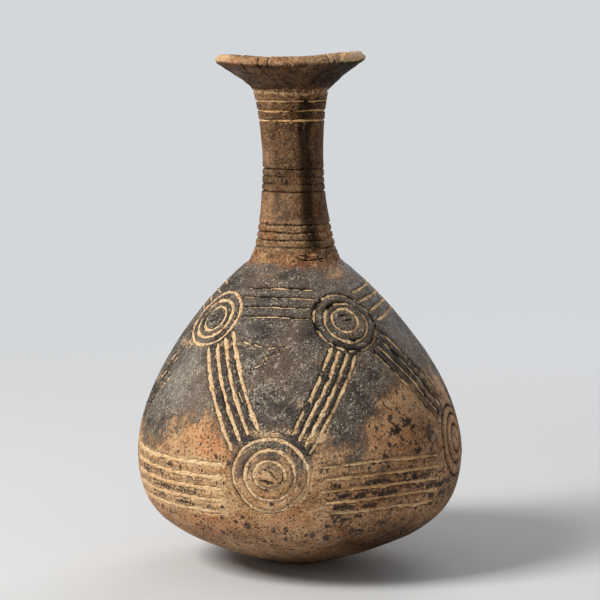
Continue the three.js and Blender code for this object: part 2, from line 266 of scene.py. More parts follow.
def mouth_outline():
    """Up the flare, round the edge of the lip, up its slope and down the funnel to the bore."""
    collar = (COLLAR_RADIUS, COLLAR_HEIGHT)
    lip = (MOUTH_RADIUS, MOUTH_HEIGHT - LIP_DROP)
    edge = (MOUTH_RADIUS - LIP_EDGE / 4, MOUTH_HEIGHT - LIP_DROP + LIP_EDGE)
    top = (MOUTH_RADIUS - LIP_BEVEL, MOUTH_HEIGHT)
    inside = (MOUTH_RADIUS - 1.6 * LIP_BEVEL, MOUTH_HEIGHT - LIP_EDGE / 3)
    throat = (BORE_RADIUS, COLLAR_HEIGHT - SCARF)
    before, flare = (offset(lip, 180 + LIP_ANGLE, length) for length in (LIP_EDGE, LIP_PULL))
    funnel = offset(inside, 180 + FUNNEL_ANGLE, FUNNEL_PULL)
    return Outline(
        bezier(collar, offset(collar, FLARE_ANGLE, FLARE_PULL), flare, before),
        bezier(before, lip, edge),
        bezier(edge, offset(edge, -45, LIP_BEVEL / 2), offset(top, 90, LIP_BEVEL / 3), top),
        bezier(top, offset(top, -90, LIP_BEVEL / 3), inside),
        bezier(inside, funnel, offset(throat, 0, THROAT_PULL), throat),
    )


BODY = body_outline()
NECK = neck_outline()
MOUTH = mouth_outline()


def turned(turn, radius, height):
    a = np.radians(turn)
    return np.stack([radius * np.sin(a), -radius * np.cos(a), height + 0 * a], -1)


def unevenness(points):
    """The slow swell and dip that building by hand leaves, and the softer marks of the scraping."""
    return 0.34 * noise(points, 26, 3) + 0.13 * noise(points, 9, 5)


def settled(points):
    """The lean of the upper part, and the wave and tilt of the lip."""
    x, y, z = points[..., 0], points[..., 1], points[..., 2]
    above = z - LEAN_START
    lean = LEAN_AT_MOUTH / (MOUTH_HEIGHT - LEAN_START) * (above + np.hypot(above, LEAN_BLEND)) / 2
    turn = np.arctan2(x, -y)
    lift = step(COLLAR_HEIGHT, MOUTH_HEIGHT, z) * (LIP_TILT * np.sin(turn) - LIP_WAVE * np.cos(2 * turn))
    return np.stack([x - lean, y, z + lift], -1)


def skin(outline, turn, s, lift):
    """A place on the outside of an outline, with the bottle's unevenness and a height over the clay."""
    radius, height, out = outline.at(s)
    rise = lift + unevenness(turned(turn, radius, height))
    return turned(turn, radius + rise * out[..., 0], height + rise * out[..., 1])


class Places:
    """Places on the outside of an outline: turns, lengths, and the points on the plain outline."""

    def __init__(self, outline, turn, s):
        self.outline = outline
        self.turn, self.s = np.broadcast_arrays(turn, s)
        self.radius, height, _ = outline.at(self.s)
        self.points = turned(self.turn, self.radius, height)

    def across(self, turn):
        """How far the places lie to the right of a turn, in millimetres."""
        return np.radians(turn_from(turn, self.turn)) * self.radius


# Lines cut in the body. Seeds are far enough apart that no two lines wander alike.

LIME_PATCHES = 0.4  # how far the level of the lime rises and falls along a line
NO_MORE = (0, 0, 0, 0)


class Line:
    """A line cut in the body: its places, and its half width, depth and share of lime at each place. Its dust
    is the lime on the clay beside it, and its lean is how much more lime lies on its lower side."""

    def __init__(self, turn, s, seed, closed=False, width=1.5, depth=0.75, lime=0, node=None, wander=0.25,
                 dust=0.3, lean=0):
        radius, height, _ = BODY.at(s)
        here = turned(turn, radius, height)
        along = np.gradient(np.radians(turn) * radius), np.gradient(s)
        size = np.hypot(*along)
        shift = wander * noise(here, 9, seed) + 0.4 * wander * noise(here, 3, seed + 1)
        self.turn = turn + np.degrees(-along[1] / size * shift / radius)
        self.s = s + along[0] / size * shift
        self.closed, self.seed, self.node, self.dust, self.lean = closed, seed, node, dust, lean
        ends = 1 if closed else self.ends_taper()
        self.half = width / 2 * (1 + 0.3 * noise(here, 3.2, seed + 2)) * (0.4 + 0.6 * ends)
        self.depth = depth * (1 + 0.35 * noise(here, 4.5, seed + 3)) * ends
        self.lime = lime + LIME_PATCHES * noise(here, 5, seed + 4) if lime else 0 * s - 1

    def ends_taper(self):
        count = np.arange(len(self.s))
        return step(-0.4, 1.8, np.minimum(count, count[::-1]) * LINE_STEP)

    def at(self, place, values):
        """Values between the line's points, at places counted in points from its start."""
        count = len(values)
        if self.closed:
            return np.interp(place % count, np.arange(count + 1), np.append(values, values[0]))
        return np.interp(place, np.arange(count), values)


def beside(turn, s, angle, distance):
    """A place some millimetres off another, at an angle clockwise from straight up."""
    a = np.radians(angle)
    end = s + distance * np.cos(a)
    radius = BODY.at((s + end) / 2)[0]
    return turn + np.degrees(distance * np.sin(a) / radius), end


def ring_line(turn, s, radius, seed, fuller=0, **looks):
    """A ring round a place. Its lime is fuller by a share at the top, and thinner by it at the bottom."""
    count = round(2 * math.pi * radius / LINE_STEP)
    angles = np.arange(count) * 360 / count
    spot = np.stack([np.cos(np.radians(angles)), np.sin(np.radians(angles)), 0 * angles], -1)
    wobble = radius * (1 + 0.045 * noise(spot, 1.1, seed + 7))
    line = Line(*beside(turn, s, angles, wobble), seed, closed=True, **looks)
    line.lime = line.lime + fuller * np.cos(np.radians(angles))
    return line


def straight_line(start, end, seed, bow=0, **looks):
    """A line that keeps its slant on the clay, from one place to another."""
    middle = BODY.at((start[1] + end[1]) / 2)[0]
    size = math.hypot(math.radians(end[0] - start[0]) * middle, end[1] - start[1])
    share = np.linspace(0, 1, max(4, round(size / LINE_STEP)) + 1)
    s = start[1] + (end[1] - start[1]) * share
    ahead = np.concatenate([[0], np.cumsum(1 / BODY.at((s[1:] + s[:-1]) / 2)[0])])
    turn = start[0] + (end[0] - start[0]) * ahead / ahead[-1]
    return Line(turn, s + bow * np.sin(math.pi * share), seed, **looks)


BELLY_S = BODY.length_at(BELLY_HEIGHT + BELLY_ROUNDEL_RISE)
SHOULDER_S = BODY.length - SHOULDER_ROUNDEL_CLEAR - SHOULDER_RINGS["outer"]


def belly_centre(side):
    return BELLY_ROUNDELS[side], BELLY_S + BELLY_LIFTS[side]


def belly_next_to(turn, way):
    """The middle of the belly roundel next to a turn, to its right or left."""
    centres = [belly_centre(side) for side in BELLY_ROUNDELS]
    places = [(t + r, s) for t, s in centres for r in (-360, 0, 360)]
    found = [place for place in places if (place[0] > turn) == (way == "right")]
    return min(found, key=lambda place: abs(place[0] - turn))


# How full of lime the lines are, from 0 to 1
RAY_SETS = {
    # lime, and how black the clay is between the rays
    ("front_left", "right"): (0.95, 0.7), ("front_left", "left"): (0.62, 0.35),
    ("front_right", "left"): (0.85, 0.95), ("front_right", "right"): (0.45, 0.65),
    ("back_right", "left"): (0.6, 0.5), ("back_right", "right"): (0.75, 0.8),
    ("back_left", "left"): (0.8, 0.7), ("back_left", "right"): (0.5, 0.6),
}
# The share of its length by which each ray of a set starts late
RAY_LATE = {("front_left", "left"): (0.36, 0.33, 0.21, 0.16)}
BELLY_RING_LIME = 0.7
BELLY_RING_FULLER = 0.22
SHOULDER_RING_LIME = {
    # outer, middle and inner ring
    "front_left": (0.95, 0.85, 0.8), "front_right": (0.35, 0.5, 0.65),
    "back_right": (0.7, 0.7, 0.6), "back_left": (0.8, 0.5, 0.7),
}
RING_LIFTS = {("front_right", "middle"): 0.4, ("front_right", "inner"): 0.8}
BELLY_LINE_SETS = (
    # to the right of each belly roundel: lime, width, lean, dust, bow, stop, droop
    (0.75, 1.25, 0.4, 0.35, 0.9, 0, 0),
    (0.9, 1.5, 0, 0.6, -0.3, 0, 0),
    (0.8, 1.5, 0.2, 0.5, 0.4, 0, 0),
    (1.05, 1.75, 0, 0.65, -0.5, 0, 0),
)
SHOULDER_LINE_SETS = (
    # to the right of each shoulder roundel, in the same order
    (0.42, 0.95, 0.7, 0.2, 0.6, -0.6, 0),
    (0.95, 1.3, 0.2, 0.3, 0.9, 0, 2.4),
    (0.4, 1.0, 0.5, 0.2, 0.6, 0.3, 0.3),
    (0.5, 0.95, 0.6, 0.2, 0.8, 0, 0),
)
CENTRE_MARKS = (
    # rough strokes inside the roundels: turn and length of both ends, width, depth, lime
    (25.4, 113.8, 30.8, 114, 0.9, 0.6, 0), (27.2, 112, 32.8, 112.3, 0.9, 0.5, 0),
    (-59.5, 112, -53, 112.8, 0.8, 0.5, 0.25), (-58, 110, -52, 111.2, 0.8, 0.5, 0),
    (-13.4, 61.4, -9, 60.8, 0.8, 0.3, 0), (-10.4, 64.4, -7.8, 61.8, 0.7, 0.3, 0.2),
    (-13.4, 63.8, -10.4, 65.2, 0.7, 0.3, 0.3), (117, 111, 122, 111.6, 0.9, 0.5, 0),
    (205, 111, 211, 111.8, 0.8, 0.5, 0.2), (165, 63.4, 171, 62.6, 0.9, 0.5, 0.2),
    (261.5, 64.4, 266.5, 65.8, 0.9, 0.5, 0), (71, 69.4, 75, 66.6, 0.7, 0.4, 0),
    (33.8, 78.6, 37.6, 75.2, 0.7, 0.4, 0),
)
STROKES = (
    # lime that lies in shallow scratches: turn and length of both ends, width
    (-29, 105, -22.6, 103.6, 0.9), (-22.6, 103.6, -15.2, 102.8, 0.7), (-15.2, 102.8, -8.6, 103.6, 0.6),
    (-7, 103.5, -3.4, 103.1, 0.6), (-20.8, 95.2, -13.6, 97.9, 0.6), (-16.8, 97.3, -12.8, 100.1, 0.6),
    (-12.8, 100.1, -8.4, 102.2, 0.5), (-16, 99.4, -15, 97.8, 0.4), (24.6, 83, 23, 79.6, 0.4),
    (1.2, 84.5, 4.4, 82.6, 0.5), (2.6, 84.9, 2.2, 82.2, 0.4), (1, 128.7, 4.6, 130.4, 0.5),
    (3.6, 128.3, 7.6, 130, 0.5), (-24, 88.4, -21, 84, 0.4), (8, 96, 12, 92.6, 0.4),
    (128, 96, 136, 93, 0.6), (196, 103, 205, 101.6, 0.7), (236, 88, 240, 83, 0.5),
)
STROKE_LIME = 0.55
STROKE_DEPTH = 0.25


def ray_ends(side, way, share):
    """Where a ray starts and ends, from the first of its set at share 0 to the last at share 1."""
    top, sign = SHOULDER_ROUNDELS[side], 1 if way == "right" else -1
    first, last = RAY_TOPS[way][::sign]
    slant = 180 - sign * (first + (last - first) * share)
    foot = RAY_FEET[way][0] + (RAY_FEET[way][1] - RAY_FEET[way][0]) * share
    start = beside(top, SHOULDER_S, slant, SHOULDER_RINGS["outer"] + RAY_START)
    end = beside(*belly_next_to(top, way), -sign * foot, BELLY_RINGS["outer"] + RAY_STOP)
    return np.array(start), np.array(end)


def ray_lines(side, seed):
    looks = {"node": f"lime_shoulder_{side}_outer_ring_and_rays", "width": 1.55, "depth": 0.8}
    lines = []
    for way, own_seed in (("right", 10), ("left", 0)):
        for i in range(RAYS_EACH_WAY):
            start, end = ray_ends(side, way, i / (RAYS_EACH_WAY - 1))
            start = start + (end - start) * RAY_LATE.get((side, way), NO_MORE)[i]
            lime = RAY_SETS[side, way][0]
            lines.append(straight_line(start, end, seed + 20 * i + own_seed, lime=lime, **looks))
    return lines


def level_lines(roundels, s, reach, seed, sets, nodes=(None,) * 4, **looks):
    """Level lines between roundels. A bow lifts the middle of a line, a stop draws in its ends, and a droop
    lowers its left end."""
    lines, centres = [], list(roundels.values())
    for i, (lime, width, lean, dust, bow, stop, droop) in enumerate(sets):
        half = math.degrees((reach + stop) / BODY.at(s)[0])
        following = centres[(i + 1) % len(centres)] + (0 if i + 1 < len(centres) else 360)
        own = {"lime": lime, "width": width, "lean": lean, "dust": dust, "bow": bow, "node": nodes[i]}
        start, end = (centres[i] + half, s - droop), (following - half, s)
        lines.append(straight_line(start, end, seed + 13 * i, **own, **looks))
    return lines


def body_lines():
    lines = []
    for k, side in enumerate(BELLY_ROUNDELS):
        for m, (ring, radius) in enumerate(BELLY_RINGS.items()):
            looks = {"lime": BELLY_RING_LIME, "fuller": BELLY_RING_FULLER, "width": 1.4}
            looks["node"] = f"lime_belly_{side}_{ring}_ring"
            if side == BARE_ROUNDEL:
                looks = {"width": 1.0}
            lines.append(ring_line(*belly_centre(side), radius, 100 + 40 * k + 10 * m, dust=0.5, **looks))
    for k, (side, turn) in enumerate(SHOULDER_ROUNDELS.items()):
        for m, (ring, radius) in enumerate(SHOULDER_RINGS.items()):
            node = f"lime_shoulder_{side}_{ring}_ring" + ("_and_rays" if ring == "outer" else "")
            looks = {"lime": SHOULDER_RING_LIME[side][m], "node": node, "width": 1.4}
            s = SHOULDER_S + RING_LIFTS.get((side, ring), 0)
            lines.append(ring_line(turn, s, radius, 300 + 40 * k + 10 * m, **looks))
        lines += ray_lines(side, 500 + 100 * k)
    for k in range(BELLY_LINES):
        s = BELLY_S - BELLY_LINE_DROP + ((BELLY_LINES - 1) / 2 - k) * BELLY_LINE_PITCH
        nodes = [f"lime_belly_line_{k + 1}_right_of_{side}" for side in BELLY_ROUNDELS]
        reach = BELLY_RINGS["outer"] + BELLY_LINE_STOP
        lines += level_lines(BELLY_ROUNDELS, s, reach, 1000 + 70 * k, BELLY_LINE_SETS, nodes)
    for k in range(SHOULDER_LINES):
        lift = SHOULDER_LINE_LIFT + k * SHOULDER_LINE_PITCH
        beyond = max(SHOULDER_RINGS["outer"] ** 2 - lift**2, SHOULDER_LINE_REACH**2)
        place = SHOULDER_S + lift, math.sqrt(beyond) + SHOULDER_LINE_STOP
        lines += level_lines(SHOULDER_ROUNDELS, *place, 1500 + 70 * k, SHOULDER_LINE_SETS, depth=0.6)
    for k, (*ends, width, depth, lime) in enumerate(CENTRE_MARKS):
        looks = {"width": width, "depth": depth, "lime": lime, "wander": 0.1}
        lines.append(straight_line(ends[:2], ends[2:], 1900 + 9 * k, **looks))
    for k, (*ends, width) in enumerate(STROKES):
        looks = {"width": width, "depth": STROKE_DEPTH, "lime": STROKE_LIME, "wander": 0.5, "dust": 0.2}
        lines.append(straight_line(ends[:2], ends[2:], 2300 + 9 * k, **looks))
    return lines


# Fields over the skin: heights of the cuts and burrs, and masks for the finish

TRENCH_REACH = 0.14  # the clay is cut this much wider and deeper than the lining of a line
TRENCH_DEPTH = 0.35
LINE_MARGIN = 4  # how far beside a line its cut, burr and dust are looked for


class Field(Places):
    """A grid of places all round an outline, with the cuts in it."""

    def __init__(self, outline, rows, columns):
        self.rows = rows
        self.columns = np.arange(columns) * 360 / columns
        super().__init__(outline, self.columns[None, :], rows[:, None])
        self.groove, self.burr, self.cut, self.dust, self.scratch = np.zeros((5, *self.s.shape))

    def carve(self, line):
        """Cuts the trench in which the line's lining lies, and leaves its dust."""
        near = (self.rows > line.s.min() - LINE_MARGIN) & (self.rows < line.s.max() + LINE_MARGIN)
        rows = np.where(near)[0]
        middle = (line.turn.min() + line.turn.max()) / 2
        spread = math.degrees(LINE_MARGIN / self.radius[rows, 0].min())
        reach = (line.turn.max() - line.turn.min()) / 2 + spread
        columns = np.where(np.abs(turn_from(middle, self.columns)) < reach)[0]
        grid = np.ix_(rows, columns)
        turn = np.radians(turn_from(middle, self.columns[columns]))[None, :]
        s = self.rows[rows][:, None]
        radius = self.radius[rows, :1]
        turns, lengths = np.radians(line.turn - middle), line.s
        if line.closed:
            turns, lengths = np.append(turns, turns[0]), np.append(lengths, lengths[0])
        best = np.full((len(rows), len(columns)), np.inf)
        place = np.zeros_like(best)
        for k in range(len(turns) - 1):
            ex, ey = (turns[k + 1] - turns[k]) * radius, lengths[k + 1] - lengths[k]
            px, py = (turn - turns[k]) * radius, s - lengths[k]
            t = np.clip((px * ex + py * ey) / (ex * ex + ey * ey), 0, 1)
            away = np.hypot(px - t * ex, py - t * ey)
            nearer = away < best
            best = np.where(nearer, away, best)
            place = np.where(nearer, k + t, place)
        half, depth, lime = (line.at(place, values) for values in (line.half, line.depth, line.lime))
        inside = (best < half + TRENCH_REACH) & (depth > 0.12)
        beyond = np.clip(best - half, 0, None)
        dust = line.dust * np.clip(lime, 0, 1) * bump(beyond - 0.3, 0.5)
        self.groove[grid] = np.minimum(self.groove[grid], np.where(inside, -depth - TRENCH_DEPTH, 0))
        # painted shade: the clay is darkened along the edges of the cut
        self.cut[grid] = np.maximum(self.cut[grid], 0.75 * step(0.5, 0.05, beyond))
        self.dust[grid] = np.maximum(self.dust[grid], dust)
        self.burr[grid] = np.maximum(self.burr[grid], 0.1 * bump(beyond - 0.6, 0.7) * np.minimum(depth, 1))


# Half width, the depth of each ring of a group from its first, the lime dust on it, and how far the clay
# beside it swells
NECK_RING_LOOKS = {
    "foot": {"half": 0.4, "depths": (0.45, 0.5, 0.5, 0.5), "lime": 0.34, "rib": 0.12},
    "waist": {"half": 0.3, "depths": (0.5, 0.34, 0.34, 0.55), "lime": 0.08, "rib": 0.05},
    "collar": {"half": 0.4, "depths": (0.3, 0.5, 0.5, 0.5), "lime": 0.4, "rib": 0.06},
}
NECK_RING_GAPS = {
    # turns between which a ring is worn away
    ("waist", 1): ((-16, 26), (150, 190)),
    ("waist", 2): ((-4, 12), (205, 235)),
}
NECK_NOISE_RADIUS = 12.0  # noise round a ring is read on a circle of this radius


def neck_rings():
    """Group, place in the group, height and seed of every ring of the neck."""
    rows = {
        "foot": (LUTE_TOP + FOOT_LINE_RISE, FOOT_LINE_PITCH),
        "waist": (WAIST_HEIGHT - WAIST_LINE_DROP, -WAIST_LINE_PITCH),
        "collar": (COLLAR_HEIGHT - COLLAR_LINE_DROP, -COLLAR_LINE_PITCH),
    }
    rings = [
        (group, k, first + k * pitch) for group, (first, pitch) in rows.items() for k in range(NECK_LINES)
    ]
    return [(*ring, 2017 + 17 * i) for i, ring in enumerate(rings)]


def neck_ring(height, seed, turn):
    """The wandering height of a ring cut in the neck."""
    around = turned(turn, NECK_NOISE_RADIUS, 0.0)
    return NECK.length_at(height) + 0.22 * noise(around, 9, seed) + 0.09 * noise(around, 2.5, seed + 1)


def neck_ring_size(group, k, turn, height, seed):
    """Half width and depth of a ring of the neck, round its turns."""
    looks = NECK_RING_LOOKS[group]
    around = turned(turn, NECK_NOISE_RADIUS, height)
    half = looks["half"] * (1 + 0.3 * noise(around, 4, seed + 2))
    depth = looks["depths"][k] * (1 + 0.4 * noise(around, 5, seed + 3))
    for first, last in NECK_RING_GAPS.get((group, k), ()):
        reach = (last - first) / 2
        depth = depth * (1 - 0.9 * step(reach + 5, reach - 5, np.abs(turn_from((first + last) / 2, turn))))
    return half, depth


def carve_neck(field):
    for group, k, height, seed in neck_rings():
        centre = neck_ring(height, seed, field.columns)[None, :]
        half, depth = neck_ring_size(group, k, field.columns, height, seed)
        away = np.abs(field.s - centre)
        if group == "collar" and k in LIMED_COLLAR_LINES:
            cut = np.where(away < half + TRENCH_REACH, -depth - TRENCH_DEPTH, 0)
        else:
            u = np.clip(away + 0.09 * noise(field.points, 0.8, seed + 4), 0, None) / half
            cut = -depth * np.clip(1 - u**2.2, 0, 1)
            # painted shade in the unlimed rings, darker as they are deeper
            shade = np.clip(depth / 0.5, 0, 1) * (0.75 + 0.35 * noise(field.points, 2.4, seed + 5))
            field.cut = np.maximum(field.cut, shade * step(1.1, 0.5, u))
        dusty = NECK_RING_LOOKS[group]["lime"] * bump(field.s - centre + 0.35, 0.5)
        field.groove = np.minimum(field.groove, cut)
        field.burr = np.maximum(field.burr, NECK_RING_LOOKS[group]["rib"] * bump(away - 1.1, 0.6))
        field.dust = np.maximum(field.dust, dusty)


# Meshes

def add(name, data):
    made = bpy.data.objects.new(name, data)
    bpy.context.scene.collection.objects.link(made)
    return made


def mesh_object(name, points, faces, masks, sharp=None):
    """A mesh from points in millimetres and four-sided faces, with its masks on its points."""
    mesh = bpy.data.meshes.new(name)
    mesh.vertices.add(len(points))
    mesh.vertices.foreach_set("co", (points * MM).astype(np.float32).ravel())
    mesh.loops.add(faces.size)
    mesh.loops.foreach_set("vertex_index", faces.astype(np.int32).ravel())
    mesh.polygons.add(len(faces))
    mesh.polygons.foreach_set("loop_start", np.arange(0, faces.size, faces.shape[1], dtype=np.int32))
    mesh.update(calc_edges=True)
    mesh.polygons.foreach_set("use_smooth", np.ones(len(faces), bool))
    for mask, values in masks.items():
        data = mesh.attributes.new(mask, "FLOAT", "POINT").data
        data.foreach_set("value", values.astype(np.float32).ravel())
    if sharp is not None:
        ends = np.zeros(2 * len(mesh.edges), np.int32)
        mesh.edges.foreach_get("vertices", ends)
        on_ring = sharp[ends].reshape(-1, 2).all(1)
        mesh.attributes.new("sharp_edge", "BOOLEAN", "EDGE").data.foreach_set("value", on_ring)
    mesh.validate()
    return add(name, mesh)


def dress(piece, material, slot, *nodes):
    piece.data.materials.append(material)
    if nodes:
        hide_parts(*nodes)
    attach(piece, "root")


def grid_faces(rows, columns, loop_rows=True):
    i, j = np.meshgrid(np.arange(rows if loop_rows else rows - 1), np.arange(columns), indexing="ij")
    i, j = i.ravel(), j.ravel()
    up, on = (i + 1) % rows, (j + 1) % columns
    return np.stack([i * columns + j, i * columns + on, up * columns + on, up * columns + j], 1)


def inner_rows(outline, start, end):
    """Radius and height down the inside of a wall, from one length to another."""
    s = np.linspace(start, end, max(2, round(abs(end - start) / INSIDE_STEP) + 1))
    radius, height, out = outline.at(s)
    return np.stack([radius - WALL * out[:, 0], height - WALL * out[:, 1]], 1)


def clay_piece(node, field, first, last, inside, finish, slot="fired_clay"):
    """A closed piece of the bottle, in place of a node: field rows first to last up the outside, then the
    rows of inside."""
    rows = np.arange(first, last + 1)
    outer = skin(field.outline, field.turn[rows], field.s[rows], field.height[rows])
    inner = turned(field.columns[None, :], inside[:, :1], inside[:, 1:])
    outward = turned(field.columns, 1.0, 0.0)[None]
    inner = inner + (0.8 * unevenness(inner) * step(0, 6, inside[:, :1]))[..., None] * outward
    points = settled(np.concatenate([outer, inner]))
    count, columns = points.shape[:2]
    masks = {
        key: np.concatenate([values[rows], np.repeat(values[rows[-1:]], len(inside), 0)])
        for key, values in finish.items()
    }
    ring = np.zeros((count, columns), bool)
    ring[[0, len(rows) - 1, len(rows), count - 1]] = True
    faces = grid_faces(count, columns)
    piece = mesh_object(node + "_clay", points.reshape(-1, 3), faces, masks, ring.ravel())
    dress(piece, CLAY_FINISH, slot, node)


# The finish, as masks over the skin. Patches are where the fire left its marks, and some paint shade on the
# right of the body and low down. Each is a turn, a length, a half width and a half height in millimetres, and
# a strength.

def patches(places, spots, seed, warp=4.5):
    """The strongest of several soft patches."""
    warp_u, warp_v = (warp * rough(places.points, 14, seed + k) for k in (0, 50))
    total = np.zeros(places.s.shape)
    for turn, s, wide, high, strength in spots:
        u, v = (places.across(turn) + warp_u) / wide, (places.s - s + warp_v) / high
        total = np.maximum(total, strength * step(1.5, 0.3, np.hypot(u, v)))
    return total


SMOKE_EDGE = 77.0  # above this length the body is blackened
SMOKE_RISES = (
    # turn, half width in degrees, how much higher the buff reaches there
    (-40, 14, 4), (-68, 15, -8), (-10, 22, -5), (18, 9, -8), (44, 18, 12), (74, 26, 13), (112, 20, -6),
    (150, 22, 10), (215, 30, 4),
)
SMOKE_SPOTS = (
    (-10, 73, 13, 7, 0.9), (-1, 67, 3.5, 7, 0.75), (-21, 67, 3, 5, 0.6), (20, 69, 5, 4, 0.6),
    (128, 55, 13, 9, 0.7), (190, 66, 12, 8, 0.7), (238, 50, 15, 8, 0.6),
)
THIN_SMOKE = (
    # where the blackening is thin and the clay shows through
    (48, 131, 8, 6, 0.55), (-30, 130, 5, 3, 0.35), (175, 128, 9, 4, 0.5),
)
GREY_SPOTS = (
    # where the blackening is pale
    (-56, 92, 9, 12, 0.9), (-44, 84, 5, 8, 0.5), (28, 124, 12, 5, 0.4), (60, 100, 10, 9, 0.4),
    (170, 104, 16, 9, 0.5), (250, 92, 14, 9, 0.6),
)
EMBER_SPOTS = (
    # orange, where the clay was hottest
    (-33, 72.5, 7, 4.5, 1), (-40, 62, 9, 3, 0.5), (-34, 46, 18, 6, 0.8), (-58, 48, 9, 4, 0.6),
    (-14, 57, 5, 2.5, 0.6), (-4, 49, 8, 4, 0.6), (31, 72, 8, 5, 0.7), (45, 73, 9, 8, 0.7),
    (32, 57, 22, 7, 0.65), (30, 46, 12, 5, 0.5), (-2, 92, 1.5, 1.5, 0.5), (64, 40, 12, 7, 0.4),
    (140, 76, 9, 6, 0.8), (178, 45, 14, 6, 0.7), (228, 78, 10, 6, 0.7), (285, 44, 12, 6, 0.6),
)
# browner clay from the firing; on the right side of the body the patches are painted shade as well
BROWN_AND_SHADE_SPOTS = (
    (34, 36, 26, 14, 1), (32, 58, 24, 9, 0.75), (48, 70, 14, 12, 0.75), (62, 48, 14, 12, 0.7),
    (-55, 57, 24, 8, 0.45), (-20, 36, 26, 9, 0.45), (10, 14, 30, 16, 0.8), (100, 40, 20, 10, 0.6),
    (205, 34, 26, 11, 0.7), (270, 24, 20, 9, 0.5),
)
SPECK_SPOTS = (
    # where dark specks crowd
    (-58, 57, 26, 8, 0.9), (-34, 70, 10, 6, 0.7), (-40, 44, 32, 11, 1), (30, 57, 22, 8, 1),
    (42, 73, 14, 9, 1), (4, 66, 5, 6, 0.8), (12, 40, 30, 11, 0.95), (120, 57, 24, 8, 0.8),
    (212, 57, 26, 8, 0.8), (150, 76, 9, 6, 0.8), (265, 45, 18, 7, 0.6),
)
STAINS = (
    # dark stains, which lie between the belly lines where they meet them
    (-70, 60, 9, 8, 0.95), (-52, 61, 16, 6, 0.8), (-46, 53, 16, 5, 0.9), (-28, 53.5, 4, 3, 0.5),
    (18, 55, 12, 7, 1.25), (32, 59, 18, 8, 1.1), (52, 55, 16, 8, 1), (25, 44.5, 9, 3.5, 0.85),
    (38, 70, 3.5, 3, 0.9), (43, 77, 4, 4, 0.9), (53, 72, 5, 5, 0.6), (47, 68.5, 5, 3, 0.75),
    (36, 75, 3, 3, 0.8), (30, 68, 4, 2.5, 0.6), (-4, 58, 3, 5, 0.5), (120, 57, 16, 8, 0.8),
    (212, 57, 18, 8, 0.8), (150, 76, 6, 5, 0.8), (300, 56, 14, 7, 0.8), (-14, 85, 6, 5, 0.4),
    (24, 66, 5, 3, 0.8), (16, 49, 8, 3, 0.6), (-64, 48, 8, 3, 0.6), (-36, 44, 12, 4, 0.45),
)
BODY_SOOT_AND_SHADE = (
    # where the lower body is blackest: blackened by the fire, and on the lower right painted shade as well
    (44, 33, 24, 13, 0.82), (78, 40, 12, 18, 0.6), (10, 24, 26, 12, 0.4), (-30, 22, 26, 8, 0.3),
    (200, 22, 30, 12, 0.4),
)
SMEARS = (
    # thin lime left on the clay
    (-25, 103.8, 5, 0.7, 0.3), (-36, 103, 3, 1.6, 0.4), (-68, 101, 6, 1.8, 0.7), (-9, 75.6, 8, 1.3, 0.7),
    (6, 74, 4, 2.4, 0.7), (-26, 55, 3, 6, 0.5), (5, 52, 4.5, 3, 0.5), (0, 84, 1.3, 1.3, 0.6),
    (200, 103, 5, 1.2, 0.7), (124, 99, 4, 1.5, 0.6),
)
CRUMBLED = (
    # where the clay at the shoulder's top is most crumbled
    (8, 134, 8, 5, 1), (50, 133, 5, 6, 0.9), (165, 134, 9, 5, 0.9), (285, 134, 6, 5, 0.7),
)
BLACK_RAYS_REACH = 6.0
RAY_MIDDLES = [
    (straight_line(*ray_ends(*key, 0.5), 0, wander=0), black) for key, (_, black) in RAY_SETS.items()
]


def between_rays(places):
    """The black clay of each set of rays, along a line down the middle of the set."""
    total = np.zeros(places.s.shape)
    for line, strength in RAY_MIDDLES:
        for turn, s in zip(line.turn[::5], line.s[::5]):
            away = np.hypot(places.across(turn), places.s - s)
            total = np.maximum(total, strength * step(BLACK_RAYS_REACH, BLACK_RAYS_REACH - 2.5, away))
    return total


def stains(places):
    """Dark stains, drawn out along the level lines and kept between them."""
    streak = noise(places.points * np.array([1, 1, 2.4]), 3.6, 88) + 0.5 * noise(places.points, 1.6, 90)
    line = (BELLY_S - BELLY_LINE_DROP - places.s) / BELLY_LINE_PITCH + (BELLY_LINES - 1) / 2
    among = (line > 0) & (line < BELLY_LINES - 1)
    between = np.where(among, bump(line - np.floor(line) - 0.5, 0.42), 1)
    return patches(places, STAINS, 89, 1.5) * between * step(-0.3, 0.3, streak)


def crumbled(places):
    top = step(BODY.length - 3.4, BODY.length - 0.8, places.s + 1.6 * noise(places.points, 2.6, 87))
    return 0.9 * top * (0.3 + 0.7 * patches(places, CRUMBLED, 93, 3.0))


def body_finish(places):
    edge = SMOKE_EDGE + 4.0 * rough(places.points, 22, 71) + 1.6 * rough(places.points, 5, 72)
    for turn, wide, rise in SMOKE_RISES:
        edge = edge + rise * bump(turn_from(turn, places.turn), wide)
    smoke = step(-9.5, 9.0, places.s - edge) * (1 - patches(places, THIN_SMOKE, 95, 3.0))
    return {
        "smoke": np.maximum(smoke, patches(places, SMOKE_SPOTS, 81)),
        "grey": patches(places, GREY_SPOTS, 84, 6.0),
        "ember": patches(places, EMBER_SPOTS, 82),
        # browner clay, and painted shade: browner and darker on the right and towards the bottom
        "brown_and_shade": np.maximum(patches(places, BROWN_AND_SHADE_SPOTS, 83), 0.7 * step(46, 20, places.s)),
        # blackening by the fire, and painted shade on the lower right
        "soot_and_shade": patches(places, BODY_SOOT_AND_SHADE, 94),
        "ink": between_rays(places),
        "stain": stains(places),
        "speck": patches(places, SPECK_SPOTS, 85),
        "pale": patches(places, SMEARS, 86, 1.2),
        "crumble": crumbled(places),
    }


MASKS = ("smoke", "grey", "ember", "brown_and_shade", "soot_and_shade", "ink", "stain", "speck", "pale", "crumble",
         "cut", "dust", "lime", "scratch")


def all_masks(finish, **cuts):
    """Every mask that the finish material reads, 0 where it isn't given."""
    return {**dict.fromkeys(MASKS, 0 * finish["smoke"]), **finish, **cuts}


